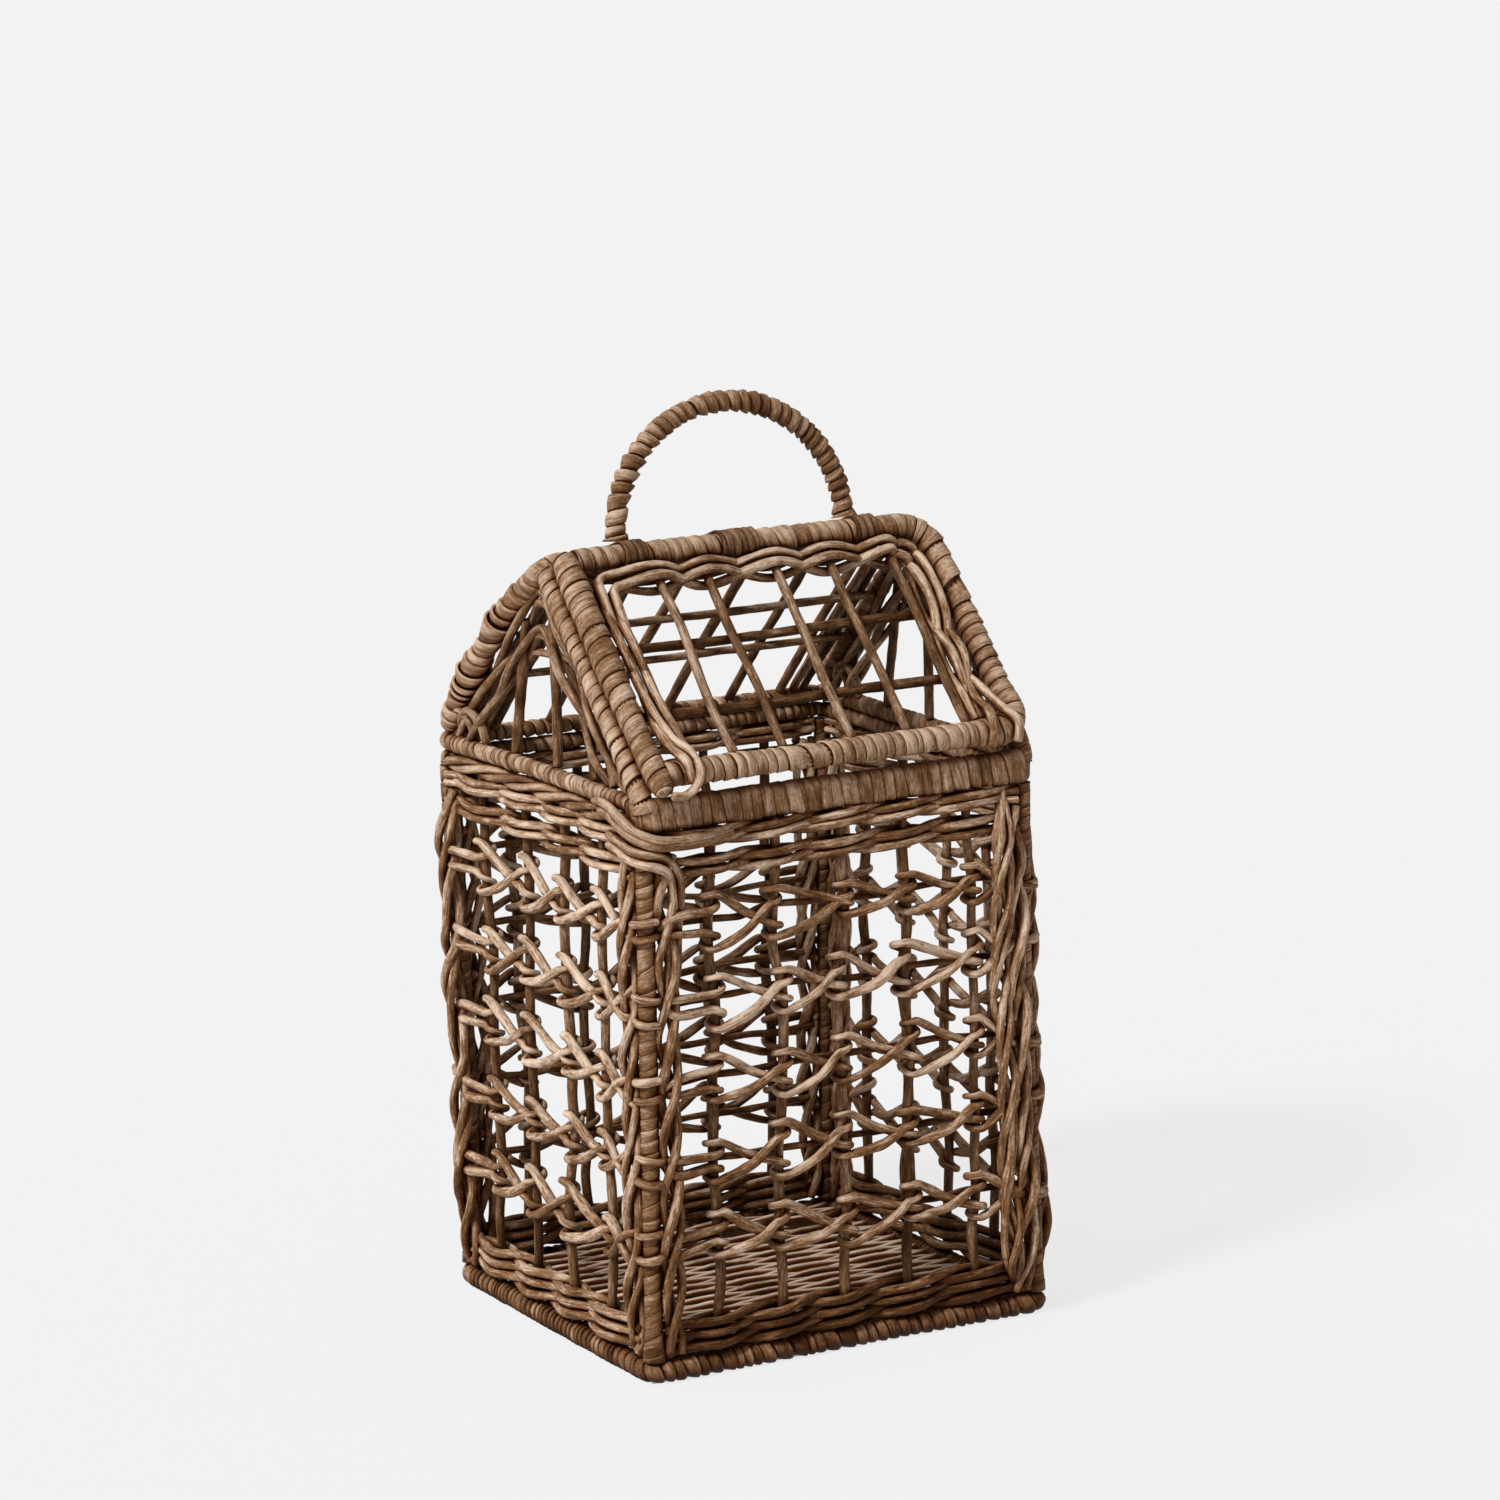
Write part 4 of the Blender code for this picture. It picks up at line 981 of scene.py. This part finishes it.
def build_lid():
    left, rest = lid_sides()
    bundle = Bundle(81)
    bundle.wind(
        smooth(on_lid(left), STEP), 3.5, 4.8, steps=22, thickness=0.45, dome=0.05, jitter=0.16, tilt=0.24,
        tone=0.49, spread=0.12, dark_every=6.3,
        taper=((0, 0.03, 0.15, 0.55, 0.75, 0.96, 1), (0.86, 1.0, 1.12, 1.08, 0.96, 0.95, 0.8)),
    )
    # the left rail's pale cut ends
    for tip, inner in ((left[0], left[1]), (left[-1], left[-2])):
        way = unit(tip - inner)
        bundle.rod(on_lid([tip + way * 0.9 * 0.5, tip - way * 2]), 2.3, tone=0.85, sides=14, wobble=0)
    bundle.wind(
        even(on_lid(rest), STEP), 3.4, 3.9, steps=22, thickness=0.45, dome=0.05, jitter=0.14, tilt=0.20,
        uneven=0.3, tone=0.58, spread=0.14, dark_every=5.1,
        taper=((0, 0.33, 0.40, 0.57, 0.59, 0.64, 0.66, 1), (1.0, 1.03, 1.1, 1.0, 1.2, 1.22, 1.0, 1.0)),
    )
    bundle.piece("lid_frame_cane", "lid", "wrapped_pole", "lid_frame")
    bundle = Bundle(82)
    for x in LID_BARS:
        lean = bundle.rng.uniform(-0.6, 0.6)
        points = [(x, -3.6, 0), (x + lean, -25, 0.2), (x - lean, -48, 0), (x, -66.5, 0)]
        bundle.rod(on_lid(points), 1.35, tone=bundle.rng.uniform(0.3, 0.6))
    bundle.piece("lid_bar_rods", "lid", "stake", *[f"lid_bar_{index}" for index in range(1, 6)])
    bundle = Bundle(83)
    for y in (-28.0, -49.7):
        points = [(-52.4, y, -3.0), (-15, y - 0.5, -3.0), (20, y + 0.3, -3.0), (52.4, y, -3.0)]
        bundle.rod(on_lid(points), 1.45, tone=0.2)
    bundle.piece("lid_crossbar_rods", "lid", "stake", "lid_crossbar_upper", "lid_crossbar_lower")
    for index, name in enumerate(("outer", "inner")):
        bundle = Bundle(84 + index)
        step = 6.3 + 3.4 * index
        x = LID_HALF - step
        bend = border_bend(x, step)
        for sign in (1, -1):
            if index == 0 and sign > 0:
                points = [(-54.6, -77.6, 1.2), (-51.5, -78.0, 1.2), (-48.0, -76.6, 2.6), (-46.0, -73.2, 4.6)]
                points += [(-46.4, -67.5, 5.0), (-49.0, -61.0, 3.0)]
            elif index == 0:
                points = [(-48.2, -74.9, 2.8), (-48.9, -70.0, 5.0), (-50.6, -64.0, 3.4), (-51.2, -58.0, 2.0)]
            else:
                points = [(-x + 1.2 + sign, -65.6, 0.4)]
            points += [(-x - sign, -45, 1.7 * sign), (-x + sign, -30, -1.7 * sign)]
            points += [(-x, -step - 6, 1.2 * sign)] + [(-px, -py, 0.9 * sign) for px, py in bend[-2::-1]]
            side = sign
            for place in LID_BARS:
                points.append((place, -step + 0.9 * side, side * (2.35 if index == 0 else 2.7)))
                side = -side
            points += [(px, -py, -0.9 * sign) for px, py in bend[:-1]]
            points += [(x, -step - 6, 1.2 * sign), (x + sign - 0.8, -28, 1.7 * sign)]
            points += [(x - sign - 1.6, -44, -1.7 * sign)]
            if index == 0 and sign > 0:
                tail = ((-1.5, -56, 2.4), (0.6, -64.5, 4.4), (4.0, -70.6, 4.7), (3.4, -75.0, 1.5))
            elif index == 0:
                tail = ((-3.6, -58, 1.6), (-3.4, -65.8, 4.6), (-3.8, -71.6, 4.4), (-4.2, -74.8, 0.6))
            else:
                tail = ((-1.6 - sign, -58, 0.4), (-1.2 - sign, -65.8, 0.2))
            points += [(x + dx, y, z) for dx, y, z in tail]
            bundle.rod(on_lid(points), 1.3, tone=0.55 + 0.1 * sign, rough=0.08)
        bundle.piece(f"lid_border_{name}_rods", "lid", "weaver", f"lid_border_{name}")


# Lashings and handle


def build_lashings():
    loops = (
        ("handle_lashing_left", -HANDLE_HALF, 3.2),
        ("hinge_lashing_middle", HINGE_LASHING_X, 5.5),
        ("handle_lashing_right", HANDLE_HALF, 3.2),
    )
    outline = belt((0, 0), 2.5 + 0.75, (HINGE_Y, HINGE_Z - RIDGE_Z), 3.5 + 0.75, 30)
    for number, (name, x, half) in enumerate(loops):
        bundle = Bundle(90 + number)
        path = even(np.array([(x - half, 0, RIDGE_Z), (x + half, 0, RIDGE_Z)]), 0.5)
        bundle.wind(
            path, 3, 2.3, section=outline, axes=((0, 1, 0), (0, 0, 1)), steps=30, thickness=0.45, jitter=0.1,
            tilt=0.1, tone=0.45, core=False,
        )
        bundle.piece(name + "_cane", "basket", "lashing", name)


def build_handle():
    points = []
    for step in range(25):
        angle = math.pi * (1 - step / 24)
        height = math.sin(angle)
        x = HANDLE_ARCH_HALF * math.cos(angle) - 0.6
        points.append((x, HANDLE_LEAN * height, HANDLE_FOOT_Z + HANDLE_RISE * height))
    bundle = Bundle(95)
    around = circle(np.arange(32) * 2 * math.pi / 32)
    bundle.wind(
        smooth(points, STEP), 2.5, 3.3, section=(around * (2.2, 2.75), unit(around / (2.2, 2.75))),
        thickness=0.75, dome=0.25, jitter=0.2, tilt=0.36, uneven=0.24, tone=0.48, spread=0.2, lap=0.42,
        edge=0.03,
        taper=((0, 0.012, 0.03, 0.97, 0.988, 1), (1.35, 1.2, 1.0, 1.0, 1.2, 1.35)),
    )
    bundle.piece("handle_winding_cane", "basket", "wrapped_pole", "handle_winding", "handle_pole")


# Camera, floor and light


def build_stage():
    yaw, pitch, roll = (math.radians(v) for v in CAMERA_ANGLES)
    back = Vector((math.sin(yaw) * math.cos(pitch), -math.cos(yaw) * math.cos(pitch), math.sin(pitch)))
    right = Vector((math.cos(yaw), math.sin(yaw), 0))
    up = back.cross(right)
    across = math.cos(roll) * right + math.sin(roll) * up
    above = math.cos(roll) * up - math.sin(roll) * right
    spot = Vector((0, 0, CAMERA_AIM_Z))
    for offset, way in zip(CAMERA_OFFSETS, (across, above, back)):
        spot = spot + offset * way
    data = bpy.data.cameras.new("camera")
    data.lens = 132.0
    data.sensor_width = 36.0
    data.clip_end = 100
    camera = add_object("camera", data)
    turn = Matrix((across, above, back)).transposed().to_4x4()
    camera.matrix_world = Matrix.Translation(spot * 0.001) @ turn
    bpy.context.scene.camera = camera

    # a pale floor that shines by itself, so that the shadow on it stays faint, and shines less underneath the
    # basket as painted shade there
    mesh = bpy.data.meshes.new("studio_floor")
    corners = ((-1, -1), (1, -1), (1, 1), (-1, 1))
    spots = [(30.0 * x, 30.0 * y, 0) for x, y in corners]
    spots += [(HALF_WIDTH * 0.001 * x, HALF_DEPTH * 0.001 * y, 0) for x, y in corners]
    mesh.from_pydata(spots, [], [(0, 1, 5, 4), (1, 2, 6, 5), (2, 3, 7, 6), (3, 0, 4, 7), (4, 5, 6, 7)])
    mesh.polygons[4].material_index = 1
    floor = add_object("studio_floor", mesh)
    for name, strength in (("studio_paper", 0.777), ("studio_paper_painted_shade", 0.36)):
        material, nodes, links = new_material(name)
        shader = nodes["Principled BSDF"]
        fill(shader, {"Roughness": 0.9, "Specular IOR Level": 0.1})
        fill(shader, {"Emission Color": (1, 1, 1, 1), "Emission Strength": strength})
        texture = fill(nodes.new("ShaderNodeTexNoise"), {"Scale": 3.0})
        color = color_ramp(nodes, links, texture.outputs["Fac"], ((0, (0.098,) * 3), (1, (0.102,) * 3)))
        links.new(color, shader.inputs["Base Color"])
        mesh.materials.append(material)

    world = bpy.data.worlds.new("studio")
    world.use_nodes = True
    fill(world.node_tree.nodes["Background"], {"Color": (1, 0.82, 0.66, 1), "Strength": 0.26})
    bpy.context.scene.world = world
    for name, way, strength, softness, color in (
        ("key_light", (-0.84, -0.24, 0.84), 3.20, 12.0, (0.95, 1.0, 1.06)),
        ("rear_light", (-0.30, 0.70, 0.62), 0.56, 50.0, (1, 1, 1)),
    ):
        lamp = bpy.data.lights.new(name, "SUN")
        lamp.energy = strength
        lamp.color = color
        lamp.angle = math.radians(softness)
        item = add_object(name, lamp)
        way = Vector(way).normalized()
        item.location = Vector((0, 0, 0.12)) + way
        item.rotation_euler = way.to_track_quat("Z", "Y").to_euler()
    bpy.context.scene.view_settings.view_transform = "Standard"


build_stage()
build_base()
build_floor()
build_posts()
build_stakes()
build_weave()
build_rim()
build_back_roof()
build_gables()
build_lid()
build_lashings()
build_handle()
